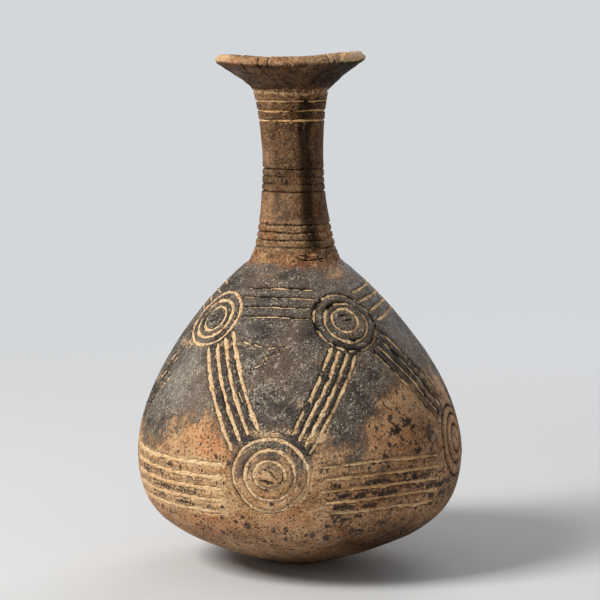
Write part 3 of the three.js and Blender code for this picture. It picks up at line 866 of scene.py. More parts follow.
SCRATCH_CLUSTERS = (
    # turn, length, spread in millimetres, count
    (-14, 98, 9, 26), (20, 84, 6, 14), (-18, 88, 8, 16), (-58, 82, 9, 22), (44, 96, 9, 12), (50, 80, 7, 26),
    (57, 69, 6, 20), (-2, 84, 3, 8), (100, 92, 14, 26), (180, 88, 16, 30), (250, 98, 14, 26),
)
SCRATCH_STEP = 0.2


def scratch_field(field, seed):
    """Thin short scratches in the skin, as a mask."""
    rng = np.random.default_rng(seed)
    mask = np.zeros(field.s.shape)
    pitch = 360 / len(field.columns)
    clusters = [(turn, s, spread) for turn, s, spread, count in SCRATCH_CLUSTERS for _ in range(count)]
    for turn, length, spread in clusters:
        s0 = length + spread * rng.normal() * 0.6
        turn0 = turn + math.degrees(spread * rng.normal() / 45)
        heading = rng.uniform(0, math.pi)
        size = rng.uniform(0.8, 3.6)
        strength = rng.uniform(0.3, 0.9)
        walk = np.arange(0, size, SCRATCH_STEP)
        headings = heading + rng.uniform(-0.12, 0.12) * walk
        s = s0 + np.cumsum(np.cos(headings)) * SCRATCH_STEP
        turns = turn0 + np.degrees(np.cumsum(np.sin(headings)) * SCRATCH_STEP / field.outline.at(s)[0])
        row = np.clip(np.searchsorted(field.rows, s), 0, len(field.rows) - 1)
        column = np.round(turns / pitch).astype(int) % len(field.columns)
        mask[row, column] = np.maximum(mask[row, column], strength)
    return mask


def skin_height(field, pit_seed):
    """Cuts, burrs, pocks and grain together."""
    grain = 0.05 * rough(field.points, 1.8, 91, 2) + 0.05 * noise(field.points, 4.5, 92)
    pocks = -0.2 * step(0.6, 0.86, noise(field.points, 1.15, pit_seed))
    pocks = pocks - 0.3 * step(0.72, 0.9, noise(field.points, 2.1, pit_seed + 1))
    burr = np.where(field.groove < -0.02, 0, field.burr)
    return field.groove + burr + (grain + pocks) * (1 - 0.5 * field.cut)


# Materials

def srgb(red, green, blue):
    """A colour given in the photograph's 0 to 255, as the shader wants it."""
    def linear(c):
        c = c / 255
        return c / 12.92 if c <= 0.04045 else ((c + 0.055) / 1.055) ** 2.4
    return (linear(red), linear(green), linear(blue), 1.0)


class Nodes:
    """Short calls for building the node tree of a material or of the world."""

    def __init__(self, owner, output="OutputMaterial"):
        owner.use_nodes = True
        self.owner = owner
        self.tree = owner.node_tree
        self.tree.nodes.clear()
        self.output = self.node(output)

    def node(self, kind, inputs=(), **settings):
        """A node with its settings. Its inputs, by name or number, are set to values or linked to outputs."""
        made = self.tree.nodes.new("ShaderNode" + kind)
        for name, value in settings.items():
            setattr(made, name, value)
        for key, value in dict(inputs).items():
            if isinstance(value, bpy.types.NodeSocket):
                self.tree.links.new(value, made.inputs[key])
            else:
                made.inputs[key].default_value = value
        return made

    @functools.cached_property
    def place(self):
        return self.node("TexCoord").outputs["Object"]

    def mask(self, name):
        return self.node("Attribute", attribute_name=name).outputs["Fac"]

    def math(self, operation, a, b):
        return self.node("Math", {0: a, 1: b}, operation=operation).outputs[0]

    def plus(self, a, b):
        return self.math("ADD", a, b)

    def times(self, a, b):
        return self.math("MULTIPLY", a, b)

    def ramp(self, value, low, high, to_low=0, to_high=1):
        inputs = dict(enumerate((value, low, high, to_low, to_high)))
        return self.node("MapRange", inputs, interpolation_type="SMOOTHSTEP").outputs[0]

    def mix(self, share, a, b):
        return self.node("Mix", {"Factor": share, 6: a, 7: b}, data_type="RGBA").outputs[2]

    def stretched(self, times, tilt=0):
        """Places for a texture that is drawn out upwards so many times, then tilted in degrees."""
        inputs = {"Vector": self.place, "Rotation": (0, math.radians(tilt), 0), "Scale": (1, 1, times)}
        return self.node("Mapping", inputs, vector_type="TEXTURE").outputs[0]

    def spots(self, size, rare, largest, ragged, place=None):
        """Round spots in cells of size millimetres. Cells whose chance is over rare have one, and its radius
        goes up to largest cell sizes."""
        cells = self.node("TexVoronoi", {"Scale": 1 / (size * MM), "Vector": place or self.place})
        chance = self.node("SeparateColor", {0: cells.outputs["Color"]}).outputs[0]
        away = self.plus(cells.outputs["Distance"], ragged)
        return self.ramp(self.math("SUBTRACT", self.ramp(chance, rare, 1, 0, largest), away), 0, 0.06)

    def noise(self, size, detail=3, roughness=0.55, place=None):
        """Noise from 0 to 1 with lumps of about size millimetres."""
        inputs = {"Scale": 1 / (size * MM), "Detail": detail, "Roughness": roughness}
        return self.node("TexNoise", {**inputs, "Vector": place or self.place}).outputs["Fac"]

    def mix_shaders(self, share, a, b):
        """The output shows shader a, and b in its place by a share."""
        mixed = self.node("MixShader", {0: share, 1: a.outputs[0], 2: b.outputs[0]})
        self.tree.links.new(mixed.outputs[0], self.output.inputs["Surface"])

    def surface(self, colour, roughness, shine, height, reach):
        """The shader, with a relief of reach millimetres."""
        relief = self.node("Bump", {"Strength": 1.0, "Distance": reach * MM, "Height": height})
        shader = self.node("BsdfPrincipled", {
            "Base Color": colour, "Roughness": roughness, "Specular IOR Level": shine,
            "Normal": relief.outputs["Normal"],
        })
        self.tree.links.new(shader.outputs["BSDF"], self.output.inputs["Surface"])
        return self.owner


BUFF = srgb(206, 163, 119)
BUFF_PALE = srgb(216, 182, 142)
TAN = srgb(166, 118, 72)
EMBER = srgb(204, 132, 84)
RUST = srgb(158, 96, 54)
BROWN = srgb(84, 54, 30)
TAUPE = srgb(120, 87, 57)
SPECK_BROWN = srgb(64, 42, 27)
SPECK_BLUE = srgb(48, 44, 49)
CHARCOAL = srgb(88, 81, 77)
CHARCOAL_DARK = srgb(56, 51, 50)
CHARCOAL_WARM = srgb(112, 95, 81)
CHARCOAL_BROWN = srgb(104, 86, 72)
GREY = srgb(140, 132, 123)
PALE_SPECK = srgb(198, 186, 168)
# near black: blackening by the fire, and the painted shade in cuts, holes and cracks and on the lower right
# of the body
SOOT_AND_SHADE = srgb(27, 18, 11)
STAIN = srgb(38, 30, 27)
INK = srgb(48, 47, 48)
LIME = srgb(230, 194, 148)
LIME_PALE = srgb(247, 222, 184)
LIME_DIRTY = srgb(168, 116, 70)
LIME_TAN = srgb(218, 158, 90)
CRUMB = srgb(150, 94, 58)
CRUMB_PALE = srgb(196, 150, 106)
STREAKS = ((35, 8), (-48, 6), (82, 7), (4, 6))  # tilt in degrees, and how many times longer than wide
LIME_ROUGHNESS = (0.95, 0.95, 0.95, 1.0)
RELIEF_REACH = 0.5


def buff_colour(n, lump, grit):
    buff = n.mix(n.ramp(n.noise(9, 4), 0.38, 0.64), BUFF, TAN)
    buff = n.mix(n.ramp(lump, 0.5, 0.68, 0, 0.75), buff, BUFF_PALE)
    buff = n.mix(n.times(n.mask("ember"), n.ramp(lump, 0.36, 0.62, 0.15, 0.85)), buff, EMBER)
    brown_and_shade = n.mix(n.ramp(n.noise(6, 4, 0.6), 0.4, 0.62), BROWN, TAUPE)
    brown_and_shade = n.mix(n.ramp(n.noise(3.4, 4, 0.65), 0.48, 0.6, 0, 0.85), brown_and_shade, RUST)
    # browner clay, and the painted shade on the right of the body and low down
    buff = n.mix(n.times(n.mask("brown_and_shade"), n.ramp(n.noise(4, 4, 0.65), 0.32, 0.58, 0.4, 1)), buff, brown_and_shade)
    mottle = n.times(n.mask("brown_and_shade"), n.ramp(n.noise(1.7, 4, 0.7), 0.54, 0.66, 0, 0.6))
    buff = n.mix(mottle, buff, SPECK_BROWN)
    buff = n.mix(n.ramp(grit, 0.36, 0.46, 0.55, 0), buff, BUFF_PALE)
    return n.mix(n.ramp(grit, 0.54, 0.64, 0, 0.7), buff, SPECK_BROWN)


def dark_specks(n, colour):
    """Round specks of several sizes, crowded where the mask says so."""
    crowd = n.mask("speck")
    ragged = n.ramp(n.noise(0.7, 2, 0.6), 0.2, 0.8, -0.16, 0.16)
    fine = n.spots(0.95, n.ramp(crowd, 0, 1, 0.72, 0.3), 0.42, ragged)
    colour = n.mix(n.times(fine, 0.9), colour, SPECK_BROWN)
    middling = n.spots(2.1, n.ramp(crowd, 0, 1, 0.8, 0.3), 0.4, ragged, n.stretched(1.25))
    colour = n.mix(n.times(middling, 0.9), colour, SPECK_BLUE)
    large = n.spots(3.9, n.ramp(crowd, 0.2, 1, 1, 0.5), 0.32, ragged, n.stretched(1.5))
    return n.mix(n.times(large, 0.85), colour, SPECK_BLUE)


def black_colour(n, lump, fine):
    black = n.mix(n.ramp(n.noise(6, 4, 0.6), 0.38, 0.64), CHARCOAL_DARK, CHARCOAL)
    black = n.mix(n.ramp(n.noise(17, 3), 0.46, 0.64, 0, 0.75), black, CHARCOAL_WARM)
    black = n.mix(n.ramp(n.noise(3.2, 3, 0.6), 0.58, 0.7, 0, 0.5), black, SPECK_BLUE)
    black = n.mix(n.times(n.mask("grey"), n.ramp(lump, 0.3, 0.6, 0.5, 1)), black, GREY)
    black = n.mix(n.ramp(fine, 0.38, 0.48, 0.75, 0), black, SOOT_AND_SHADE)
    worn = n.ramp(n.noise(5, 3, 0.6), 0.36, 0.62, 0.15, 1)
    specks = n.spots(0.8, n.ramp(worn, 0, 1, 0.9, 0.42), 0.42, n.ramp(fine, 0.2, 0.8, -0.2, 0.2))
    black = n.mix(n.times(specks, 0.8), black, PALE_SPECK)
    black = n.mix(n.times(n.ramp(fine, 0.55, 0.67, 0, 0.55), worn), black, PALE_SPECK)
    for tilt, reach in STREAKS:
        streak = n.noise(0.24, 1, 0.4, n.stretched(reach, tilt))
        black = n.mix(n.times(n.ramp(streak, 0.64, 0.72, 0, 0.75), worn), black, PALE_SPECK)
    return black


def finish_material(name):
    """Fired clay and the lime in its cuts. The masks say where each is, so that they meet without a seam."""
    n = Nodes(bpy.data.materials.new(name))
    lump, grit, fine = n.noise(2.6, 4, 0.6), n.noise(0.75, 3, 0.6), n.noise(0.42, 2, 0.6)
    edge = n.plus(n.mask("smoke"), n.ramp(n.noise(4.5, 5, 0.65), 0.25, 0.75, -0.34, 0.34))
    edge = n.plus(edge, n.ramp(n.noise(0.9, 3, 0.65), 0.25, 0.75, -0.3, 0.3))
    colour = n.mix(n.ramp(edge, 0.1, 0.5, 0, 0.8), buff_colour(n, lump, grit), CHARCOAL_BROWN)
    colour = dark_specks(n, colour)
    colour = n.mix(n.ramp(edge, 0.32, 0.85), colour, black_colour(n, lump, fine))
    ink = n.plus(n.mask("ink"), n.ramp(n.noise(2, 4, 0.65), 0.3, 0.7, -0.4, 0.3))
    colour = n.mix(n.ramp(ink, 0.15, 0.75, 0, 0.85), colour, INK)
    stain = n.plus(n.mask("stain"), n.ramp(n.noise(1.2, 4, 0.75), 0.3, 0.7, -0.5, 0.4))
    colour = n.mix(n.ramp(stain, 0.34, 0.6, 0, 0.92), colour, STAIN)
    # blackening by the fire, and painted shade on the lower right of the body
    colour = n.mix(n.times(n.mask("soot_and_shade"), n.ramp(grit, 0.3, 0.6, 1, 0.9)), colour, SOOT_AND_SHADE)
    crumbs = n.mix(n.ramp(lump, 0.42, 0.6), CRUMB, CRUMB_PALE)
    crumbs = n.mix(n.ramp(n.noise(1.1, 3, 0.7), 0.46, 0.58), crumbs, BROWN)
    colour = n.mix(n.mask("crumble"), colour, crumbs)
    colour = n.mix(n.times(n.mask("scratch"), 0.7), colour, PALE_SPECK)
    # painted shade: the cut mask darkens cuts, holes and cracks and their edges
    colour = n.mix(n.ramp(n.mask("cut"), 0.1, 0.85, 0, 0.93), colour, SOOT_AND_SHADE)
    thin = n.plus(n.mask("dust"), n.times(n.mask("pale"), 0.8))
    dusty = n.plus(thin, n.ramp(n.noise(0.9, 4, 0.75), 0.3, 0.7, -0.75, 0.25))
    colour = n.mix(n.ramp(dusty, 0.05, 0.7, 0, 0.85), colour, LIME)
    chalk = n.mix(n.ramp(n.noise(1.3, 3, 0.6), 0.32, 0.5), LIME_DIRTY, LIME)
    chalk = n.mix(n.ramp(grit, 0.46, 0.62), chalk, LIME_PALE)
    chalk = n.mix(n.ramp(n.noise(0.6, 2, 0.5), 0.6, 0.68, 0, 0.85), chalk, SPECK_BROWN)
    chalk = n.mix(n.times(n.mask("brown_and_shade"), 0.7), chalk, LIME_TAN)
    ragged = n.plus(n.mask("lime"), n.ramp(n.noise(0.7, 3, 0.7), 0.25, 0.75, -0.35, 0.35))
    lime = n.ramp(ragged, 0.35, 0.6)
    colour = n.mix(lime, colour, chalk)
    roughness = n.mix(lime, n.ramp(lump, 0.3, 0.7, 0.52, 0.76), LIME_ROUGHNESS)
    shine = n.ramp(n.mask("soot_and_shade"), 0.2, 0.9, 0.24, 0.06)
    return n.surface(colour, roughness, shine, n.plus(n.times(fine, 0.7), grit), RELIEF_REACH)


CLAY_FINISH = finish_material("fired_clay_finish")
LIME_FINISH = finish_material("lime_in_clay_finish")


# The body: base, belly and shoulder

UNDER_BASE = [[1.5, WALL], [0.02, WALL], [0.02, 0], [3, 0]]  # from the inside's floor to the flat underneath


def spaced(start, end, step_size):
    return np.linspace(start, end, round((end - start) / step_size) + 1)


def make_body(lines):
    base = spaced(0, BELLY_SEAM, BASE_STEP)
    belly = spaced(BELLY_SEAM, SHOULDER_SEAM, BODY_STEP)
    shoulder = spaced(SHOULDER_SEAM, BODY.length, BODY_STEP)
    field = Field(BODY, np.concatenate([base, belly[1:], shoulder[1:]]), BODY_COLUMNS)
    for line in lines:
        field.carve(line)
    field.scratch = scratch_field(field, 5)
    finish = all_masks(body_finish(field), cut=field.cut, dust=field.dust, scratch=field.scratch)
    lumps = 0.35 * rough(field.points, 2.4, 97) - 0.3 * step(0.2, 0.6, noise(field.points, 1.6, 98))
    field.height = skin_height(field, 95) + lumps * finish["crumble"]
    first, second, last = len(base) - 1, len(base) + len(belly) - 2, len(field.rows) - 1
    belly_joint, shoulder_joint = BELLY_SEAM + SCARF, SHOULDER_SEAM + SCARF
    seat = [[TENON_RADIUS, SEAT_HEIGHT], [TENON_RADIUS, SEAT_HEIGHT - SEAT_EDGE]]
    floor = np.concatenate([inner_rows(BODY, belly_joint, 0), UNDER_BASE])
    clay_piece("base_bowl", field, 0, first, floor, finish)
    clay_piece("belly_wall", field, first, second, inner_rows(BODY, shoulder_joint, belly_joint), finish)
    inside = np.concatenate([seat, inner_rows(BODY, BODY.length, shoulder_joint)])
    clay_piece("shoulder_wall", field, second, last, inside, finish)


# Neck, the ring of clay at its foot, and the mouth. Their patches are as on the body, with lengths up their
# own outlines.

NECK_SOOT = (
    (24, 26, 3.4, 60, 0.97), (30, 42, 3.5, 9, 0.9), (26, 31, 3.5, 8, 0.95), (60, 26, 5, 60, 0.55),
    (-8, 34, 5, 14, 0.3), (48, 44, 6, 3.5, 0.6), (150, 30, 6, 60, 0.6), (235, 20, 4, 50, 0.5),
)
NECK_SMOKE = ((-24, 14.5, 3.6, 3.6, 0.35), (190, 40, 6, 9, 0.5), (110, 12, 5, 6, 0.4))
NECK_EMBER = (
    (4, 28, 2.2, 10, 0.35), (2, 15, 2.4, 5, 0.4), (60, 6.5, 4.5, 3.6, 1), (200, 20, 5, 12, 0.6),
    (300, 10, 4, 8, 0.6),
)
NECK_TAN = (
    (-58, 15, 5, 5, 0.6), (-20, 15, 5, 4, 0.35), (-62, 34, 3.5, 9, 0.4), (-60, 49, 9, 3, 0.5),
    (120, 20, 6, 9, 0.4),
)
NECK_CHIPS = ((60, 6.2, 3.6, 3.4, 0.95), (205, 5, 4, 3, 0.8))  # where the foot's ribs are broken away
NECK_SHADE = 0.57  # how black the neck is all over
NECK_FOOT_LINES = 10.2  # the ribbed foot of the neck reaches up to this length
NECK_ROUGH_TOP = (46.5, 49.5)  # lengths between which the neck turns rough below the mouth
NECK_PALE_TOP = (47.6, 50)


def neck_chips(places):
    return patches(places, NECK_CHIPS, 186, 1.2)


def neck_finish(places):
    tan = patches(places, NECK_TAN, 184, 2.0)
    foot = step(NECK_FOOT_LINES + 1, NECK_FOOT_LINES, places.s)
    collar = step(*NECK_PALE_TOP, places.s + 1.3 * noise(places.points, 2.2, 187))
    shade = NECK_SHADE * (1 - 0.7 * tan) - 0.3 * foot
    return {
        "smoke": patches(places, NECK_SMOKE, 181, 3.0),
        "ember": patches(places, NECK_EMBER, 182, 3.0),
        "brown_and_shade": 0.95 + 0.15 * noise(places.points, 7, 183) - tan - 0.35 * foot,
        "soot_and_shade": np.maximum(patches(places, NECK_SOOT, 185, 2.2), shade),
        "speck": -0.7 + 0 * places.s,
        "pale": 0.3 * collar,
        "crumble": np.maximum(0.5 * step(1.5, 0.0, places.s) + 0.55 * collar, neck_chips(places)),
    }


def make_neck():
    field = Field(NECK, spaced(0, NECK.length, NECK_STEP), NECK_COLUMNS)
    carve_neck(field)
    chip = neck_chips(field)
    for values in (field.groove, field.cut, field.burr):
        values *= 1 - chip
    rough_top = step(*NECK_ROUGH_TOP, field.s) * (0.34 * rough(field.points, 1.8, 189) - 0.12)
    field.height = skin_height(field, 195) + rough_top + chip * (0.5 * rough(field.points, 1.9, 188) - 0.35)
    bottom = SEAT_HEIGHT - TENON_DEPTH
    bore = [[BORE_RADIUS, height] for height in np.linspace(COLLAR_HEIGHT - SCARF, bottom, BORE_ROWS)]
    inside = np.array(bore + [[TENON_RADIUS, bottom], [TENON_RADIUS, LUTE_TOP]])
    finish = all_masks(neck_finish(field), cut=field.cut, dust=field.dust)
    clay_piece("neck_tube", field, 0, len(field.rows) - 1, inside, finish)


LUTE_EMBER = (
    (4, 2, 7, 3, 1), (-16, 2.4, 4, 3, 0.6), (60, 2.4, 5, 3, 0.7), (170, 2, 9, 3, 0.8), (290, 2, 5, 3, 0.6),
)
LUTE_LAP = (0.5, 0.3)  # how far it laps down over the shoulder, and up over the neck


def make_lute():
    """The crumbly ring of clay pressed round the foot of the neck."""
    low, high = SEAT_HEIGHT - LUTE_LAP[0], LUTE_TOP + LUTE_LAP[1]
    swell, edge = (FOOT_RADIUS + 0.7, SEAT_HEIGHT + 0.6), (FOOT_RADIUS + 0.15, high)
    outline = Outline(bezier((SEAT_RADIUS + 0.3, low), swell, edge))
    field = Field(outline, spaced(0, outline.length, LUTE_STEP), LUTE_COLUMNS)
    holes = step(0.36, 0.66, noise(field.points * np.array([1, 1, 1.8]), 1.6, 303))
    lumps = 0.6 * rough(field.points, 2.4, 301) - 0.5 * holes + 0.18 * noise(field.points, 0.8, 305)
    crack = bump(field.s - 1.6 - 0.5 * noise(field.points, 5, 309), 0.22)
    crack = crack * step(-2, 6, field.turn) * step(44, 36, field.turn)
    field.height = lumps - 0.8 * crack
    ember = patches(field, LUTE_EMBER, 307, 1.5)
    finish = all_masks({
        "smoke": 0.5 * step(-0.3, 0.4, noise(field.points, 5, 306)),
        "ember": ember,
        "brown_and_shade": 0.6 + 0 * field.s,
        "soot_and_shade": 0.45 * step(0.1, 0.5, noise(field.points, 2.6, 310)),
        "speck": 0.6 + 0 * field.s,
        "pale": 0.45 * step(0.0, 0.5, noise(field.points, 1.2, 318)),
        "crumble": 0.75 * ember,
        # painted shade in the holes and the crack
        "cut": np.maximum(0.8 * holes, crack),
    })
    inside = np.array([[TENON_RADIUS, high], [TENON_RADIUS, low]])
    clay_piece("neck_lute", field, 0, len(field.rows) - 1, inside, finish, "lute_clay")


MOUTH_SOOT = (
    (58, 8, 20, 14, 0.98), (5, 3, 10, 3, 0.75), (30, 10, 12, 3.5, 0.8), (-30, 6, 6, 3, 0.5),
    (160, 9, 16, 8, 0.5), (250, 4, 9, 5, 0.4),
)
LIP_CRACKS = (
    # turn, first and last length from the widest place of the lip, half width
    (-24, -3, 2.4, 0.35), (-17, -1.6, 2.6, 0.3), (-40, -4, -0.6, 0.3), (31, -0.6, 2.2, 0.25),
    (110, -3, 2, 0.35), (215, -2, 2.4, 0.35),
)
# The lip's pale places, worn clay made paler still as painted light, most on the left where the key lamp
# falls: turn, half width in degrees, strength
LIP_PALE_AND_LIT = ((-74, 40, 1.0), (62, 34, 0.6))


def lip_cracks(field, up):
    """Cracks across the lip, where up is the length above its widest place."""
    cracks = np.zeros(field.s.shape)
    for turn, first, last, wide in LIP_CRACKS:
        across = field.across(turn) + 0.5 * noise(field.points, 1.8, 409)
        along = step(first - 0.6, first + 0.4, up) * step(last + 0.6, last - 0.4, up)
        cracks = np.maximum(cracks, bump(across, wide) * along)
    return cracks


def make_mouth():
    field = Field(MOUTH, spaced(0, MOUTH.length, MOUTH_STEP), MOUTH_COLUMNS)
    up = field.s - MOUTH.s[np.argmax(MOUTH.points[:, 0])]
    over = step(-1.0, 0.0, up + 0.5 * noise(field.points, 6, 408)) * step(7.0, 3.0, up)
    wear = noise(field.points, 5, 401)
    nicks = step(0.3, 0.7, noise(field.points, 2.6, 402)) * over
    swirls = rough(field.points * np.array([1, 1, 2.2]), 5.0, 406)
    cracks = lip_cracks(field, up)
    field.groove = -0.5 * nicks + 0.2 * wear * over - 0.7 * cracks
    field.height = skin_height(field, 403) + 0.34 * swirls * (1 - over)
    # the lip band: worn paler clay, made paler still as painted light, most on its left
    pale = sum(strength * bump(turn_from(turn, field.turn), wide) for turn, wide, strength in LIP_PALE_AND_LIT)
    finish = all_masks({
        "smoke": 0.25 * step(0.1, 0.6, noise(field.points, 6, 404)) * (1 - over),
        "ember": 0.5 * step(0, 0.5, noise(field.points, 4, 405)) * (1 - 0.5 * over),
        "brown_and_shade": 1.0 - (0.5 + 0.4 * pale) * over,
        "soot_and_shade": np.maximum(patches(field, MOUTH_SOOT, 407, 3.0), 0.66 + 0.25 * swirls) * (1 - 0.9 * over),
        "speck": -0.5 + 0.7 * over,
        "pale": over * (0.1 + 0.9 * pale + 0.6 * wear),
        # painted shade in the dips of the swirls and in the lip's cracks
        "cut": np.maximum(0.5 * step(0.3, 0.7, -swirls) * (1 - over), cracks),
    })
    inside = np.array([[BORE_RADIUS, COLLAR_HEIGHT - SCARF]])
    clay_piece("mouth_flare", field, 0, len(field.rows) - 1, inside, finish)


# The linings of the cut lines, with the lime that is left in them

ACROSS = np.array([-1, -0.82, -0.6, -0.38, -0.18, 0, 0.18, 0.38, 0.6, 0.82, 1])  # in half widths of the cut
RIM = np.array([0.16, 0.42, 0.8])  # beyond the edge: the burr's top, its foot, and a skirt under the clay
RIMS, TOP = len(RIM), len(ACROSS) + 2 * len(RIM)
IN_CUT = slice(RIMS, TOP - RIMS)
SKIRT = 0.16
UNDERSIDE = 0.3  # the hidden underside is this far beyond the rims, and this far under the bottom of the cut
END_REACH = 0.5


def lining(outline, turn, s, side, half, depth, fill, closed, seed, finish_of, dust=0.3, lean=0):
    """Points, faces and masks of the inside of one cut line. Its lime stands at the level that fill gives."""
    middle = Places(outline, turn, s).points
    low, high = (
        (half * (1 + 0.2 * noise(middle, 1.6, seed + k) + 0.12 * noise(middle, 0.6, seed + 4 + k)))[:, None]
        for k in (1, 2)
    )
    depth, full = depth[:, None], np.clip(fill, 0, 1)[:, None]
    x = np.concatenate([-low - RIM[::-1], np.where(ACROSS < 0, low, high) * ACROSS, high + RIM,
                        high + UNDERSIDE, 0 * high, -low - UNDERSIDE], 1)
    turns = turn[:, None] + np.degrees(side[0][:, None] * x / outline.at(s)[0][:, None])
    places = Places(outline, turns, s[:, None] + side[1][:, None] * x)
    inner = places.points[:, IN_CUT]
    u = np.abs(ACROSS)
    bed = -depth * (1 - u**4) + 0.05 * noise(inner, 0.8, seed + 9) * (1 - u)
    filled = fill[:, None] + 0.35 * noise(inner, 1.7, seed + 6)
    grains = 0.14 * noise(inner, 0.85, seed + 7) + 0.09 * noise(inner, 0.42, seed + 8)
    gap = 1.1 * step(0.5, 0.86, u) * (0.85 + 0.9 * noise(inner, 1.3, seed + 10)) * (1.35 - 0.75 * full)
    level = -depth * (1 - np.clip(filled, -0.2, 1.1) + gap + lean * ACROSS) + grains - 0.03
    level = np.where(depth > 0.1, level, -1)
    lime = step(-0.02, 0.1, level - bed) * step(0.0, 0.15, filled)
    lift = np.zeros(x.shape)
    lift[:, IN_CUT] = np.where(lime > 0, np.maximum(bed, level), bed)
    rim = np.concatenate([places.points[:, :RIMS], places.points[:, TOP - RIMS:TOP]], 1)
    crest = 0.03 + 0.11 * step(-0.2, 0.7, noise(rim, 1.2, seed + 11))
    foot = 0.02 + 0.03 * noise(rim, 1.0, seed + 12)
    edges = np.where(np.array([0, 0, 1, 1, 0, 0]) > 0, crest, foot)
    edges[:, [0, -1]] = -SKIRT
    lift[:, :RIMS], lift[:, TOP - RIMS:TOP] = edges[:, :RIMS], edges[:, RIMS:]
    lift[:, TOP:] = -depth - UNDERSIDE
    if not closed:
        lift[[0, -1], :TOP] = -SKIRT
    inside, cut = np.zeros(x.shape), np.zeros(x.shape)
    inside[:, IN_CUT] = lime
    # painted shade: the bare bed of the cut darker as it deepens, and its edges dark
    cut[:, IN_CUT] = step(0.1, 0.75, -bed / np.maximum(depth, 0.2)) * (1 - lime)
    cut[:, [RIMS - 1, TOP - RIMS]] = 0.6
    dusty = dust * full * bump(np.clip(np.abs(x) - high, 0, None) - 0.3, 0.5)
    masks = all_masks(finish_of(places), lime=inside, cut=cut, dust=dusty)
    faces = grid_faces(*x.shape, closed)[:, ::-1]
    if not closed:
        faces = np.concatenate([faces, end_caps(*x.shape)])
    points = skin(outline, places.turn, places.s, lift).reshape(-1, 3)
    return points, faces, {key: values.ravel() for key, values in masks.items()}


def end_caps(rows, columns):
    """Faces that close the two ends of an open strip: four-sided faces over each end's outline."""
    caps = []
    for start, way in ((0, 1), ((rows - 1) * columns, -1)):
        ring = [start + k for k in range(columns)]
        while len(ring) >= 4:
            caps.append([ring[0], ring[1], ring[-2], ring[-1]][::way])
            ring = ring[1:-1]
    return np.array(caps)


def past_ends(values):
    """Values along an open line, with one more a little past each end."""
    more = END_REACH / LINING_STEP
    first = values[0] + (values[0] - values[1]) * more
    last = values[-1] + (values[-1] - values[-2]) * more
    return np.concatenate([[first], values, [last]])


def line_lining(line):
    """The lining of a line cut in the body."""
    count = len(line.s)
    if line.closed:
        stations = round(count * LINE_STEP / LINING_STEP)
        place = np.arange(stations) * count / stations
    else:
        place = np.linspace(0, count - 1, max(8, round((count - 1) * LINE_STEP / LINING_STEP)))
    looks = (line.turn, line.s, line.half, line.depth, line.lime)
    turn, s, half, depth, lime = (line.at(place, values) for values in looks)
    if line.closed:
        along = [np.roll(values, -1) - np.roll(values, 1) for values in (turn, s)]
    else:
        turn, s = past_ends(turn), past_ends(s)
        half, depth, lime = (np.concatenate([v[:1], v, v[-1:]]) for v in (half, depth, lime))
        along = np.gradient(turn), np.gradient(s)
    du, dv = np.radians(along[0]) * BODY.at(s)[0], along[1]
    size = np.hypot(du, dv)
    shape = half, depth, lime, line.closed, line.seed + 60
    return lining(BODY, turn, s, (-dv / size, du / size), *shape, body_finish, line.dust, line.lean)


def collar_lining(k, height, seed):
    """The lining of one of the limed rings at the collar."""
    stations = round(2 * math.pi * COLLAR_RADIUS / LINING_STEP)
    turn = np.arange(stations) * 360 / stations
    fill = 0.6 + 0.45 * noise(turned(turn, NECK_NOISE_RADIUS, height), 5, seed + 4)
    shape = *neck_ring_size("collar", k, turn, height, seed), fill, True, seed + 60
    up = 0 * turn, 1 + 0 * turn
    return lining(NECK, turn, neck_ring(height, seed, turn), up, *shape, neck_finish)


def joined(parts):
    """Points, faces and masks of several linings as one mesh."""
    points, faces, masks = zip(*parts)
    starts = np.cumsum([0] + [len(some) for some in points])
    faces = np.concatenate([quads + start for quads, start in zip(faces, starts)])
    masks = {key: np.concatenate([own[key] for own in masks]) for key in masks[0]}
    return settled(np.concatenate(points)), faces, masks


def make_linings(lines):
    by_node = {}
    for line in lines:
        by_node.setdefault(line.node, []).append(line_lining(line))
    for group, k, height, seed in neck_rings():
        if group == "collar" and k in LIMED_COLLAR_LINES:
            by_node[f"lime_collar_ring_{k}"] = [collar_lining(k, height, seed)]
    dress(mesh_object("bare_cut_linings", *joined(by_node.pop(None))), CLAY_FINISH, "fired_clay")
    for node, parts in by_node.items():
        dress(mesh_object(node + "_chalk", *joined(parts)), LIME_FINISH, "lime_inlay", node)


# Floor, light and camera, in metres

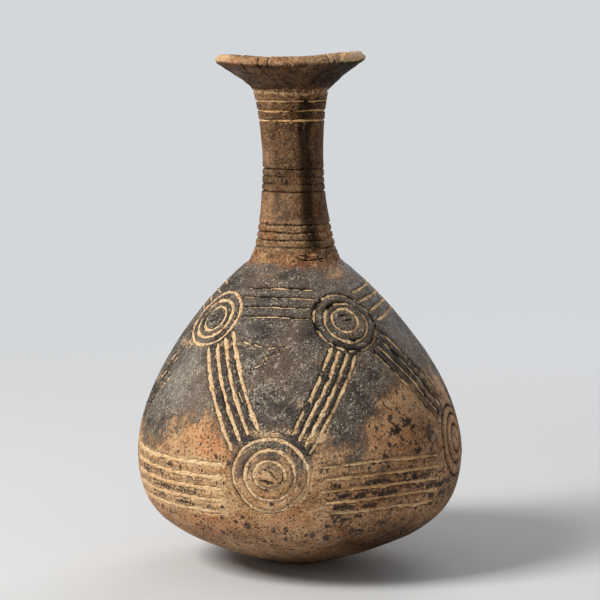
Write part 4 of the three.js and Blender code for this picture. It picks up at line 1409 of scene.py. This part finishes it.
FLOOR_SIZE = 6.0
FLOOR_COLOUR = (0.68, 0.70, 0.73, 1.0)
BACKDROP_COLOUR = (0.66, 0.68, 0.70, 1.0)
FLOOR_FADE = (0.2, 0.75)  # distances between which the floor turns into the backdrop for the camera
WORLD_COLOUR = (1.0, 0.97, 0.93, 1.0)
WORLD_STRENGTH = 0.27
LAMP_TARGET = (0.0, 0.0, 0.08)
LAMPS = {
    # place, size, power, colour
    "key": ((-0.84, -0.5, 0.86), 0.45, 16.5, (1.0, 0.96, 0.9)),
    "fill": ((0.9, -0.7, 0.4), 0.8, 0.35, (1.0, 0.96, 0.9)),
    "back": ((0.35, 0.95, 0.6), 0.7, 5.0, (0.95, 0.97, 1.0)),
}
CAMERA_PLACE = (0.0, -0.70875, 0.167245)
CAMERA_PITCH = 6.717  # degrees down from level
CAMERA_LENS = 135.0


def make_floor():
    n = Nodes(bpy.data.materials.new("studio_floor"))
    mesh = bpy.data.meshes.new("floor")
    corners = [(x * FLOOR_SIZE, y * FLOOR_SIZE, 0) for x, y in ((-1, -1), (1, -1), (1, 1), (-1, 1))]
    mesh.from_pydata(corners, [], [(0, 1, 2, 3)])
    far = n.ramp(n.node("VectorMath", {0: n.place}, operation="LENGTH").outputs["Value"], *FLOOR_FADE)
    share = n.times(far, n.node("LightPath").outputs["Is Camera Ray"])
    diffuse = n.node("BsdfDiffuse", {"Color": FLOOR_COLOUR})
    n.mix_shaders(share, diffuse, n.node("Emission", {"Color": BACKDROP_COLOUR}))
    mesh.materials.append(n.owner)
    floor = add("floor", mesh)


def make_world():
    world = bpy.data.worlds.new("studio_world")
    bpy.context.scene.world = world
    n = Nodes(world, "OutputWorld")
    light = n.node("Background", {"Color": WORLD_COLOUR, "Strength": WORLD_STRENGTH})
    seen = n.node("Background", {"Color": BACKDROP_COLOUR})
    n.mix_shaders(n.node("LightPath").outputs["Is Camera Ray"], light, seen)


def aim(thing, target):
    direction = np.array(target) - np.array(thing.location)
    flat = math.hypot(direction[0], direction[1])
    thing.rotation_euler = (math.atan2(flat, -direction[2]), 0, math.atan2(-direction[0], direction[1]))


def make_lights():
    for name, (place, size, power, colour) in LAMPS.items():
        data = bpy.data.lights.new(name, "AREA")
        data.size = size
        data.energy = power
        data.color = colour
        lamp = add(name, data)
        lamp.location = place
        aim(lamp, LAMP_TARGET)


def make_camera():
    data = bpy.data.cameras.new("camera")
    data.lens = CAMERA_LENS
    data.sensor_width = 36.0
    camera = add("camera", data)
    camera.location = CAMERA_PLACE
    camera.rotation_euler = (math.radians(90 - CAMERA_PITCH), 0, 0)
    bpy.context.scene.camera = camera


make_camera()
make_world()
make_lights()
make_floor()
cuts = body_lines()
make_body(cuts)
make_neck()
make_lute()
make_mouth()
make_linings(cuts)
bpy.context.scene.view_settings.view_transform = "Standard"
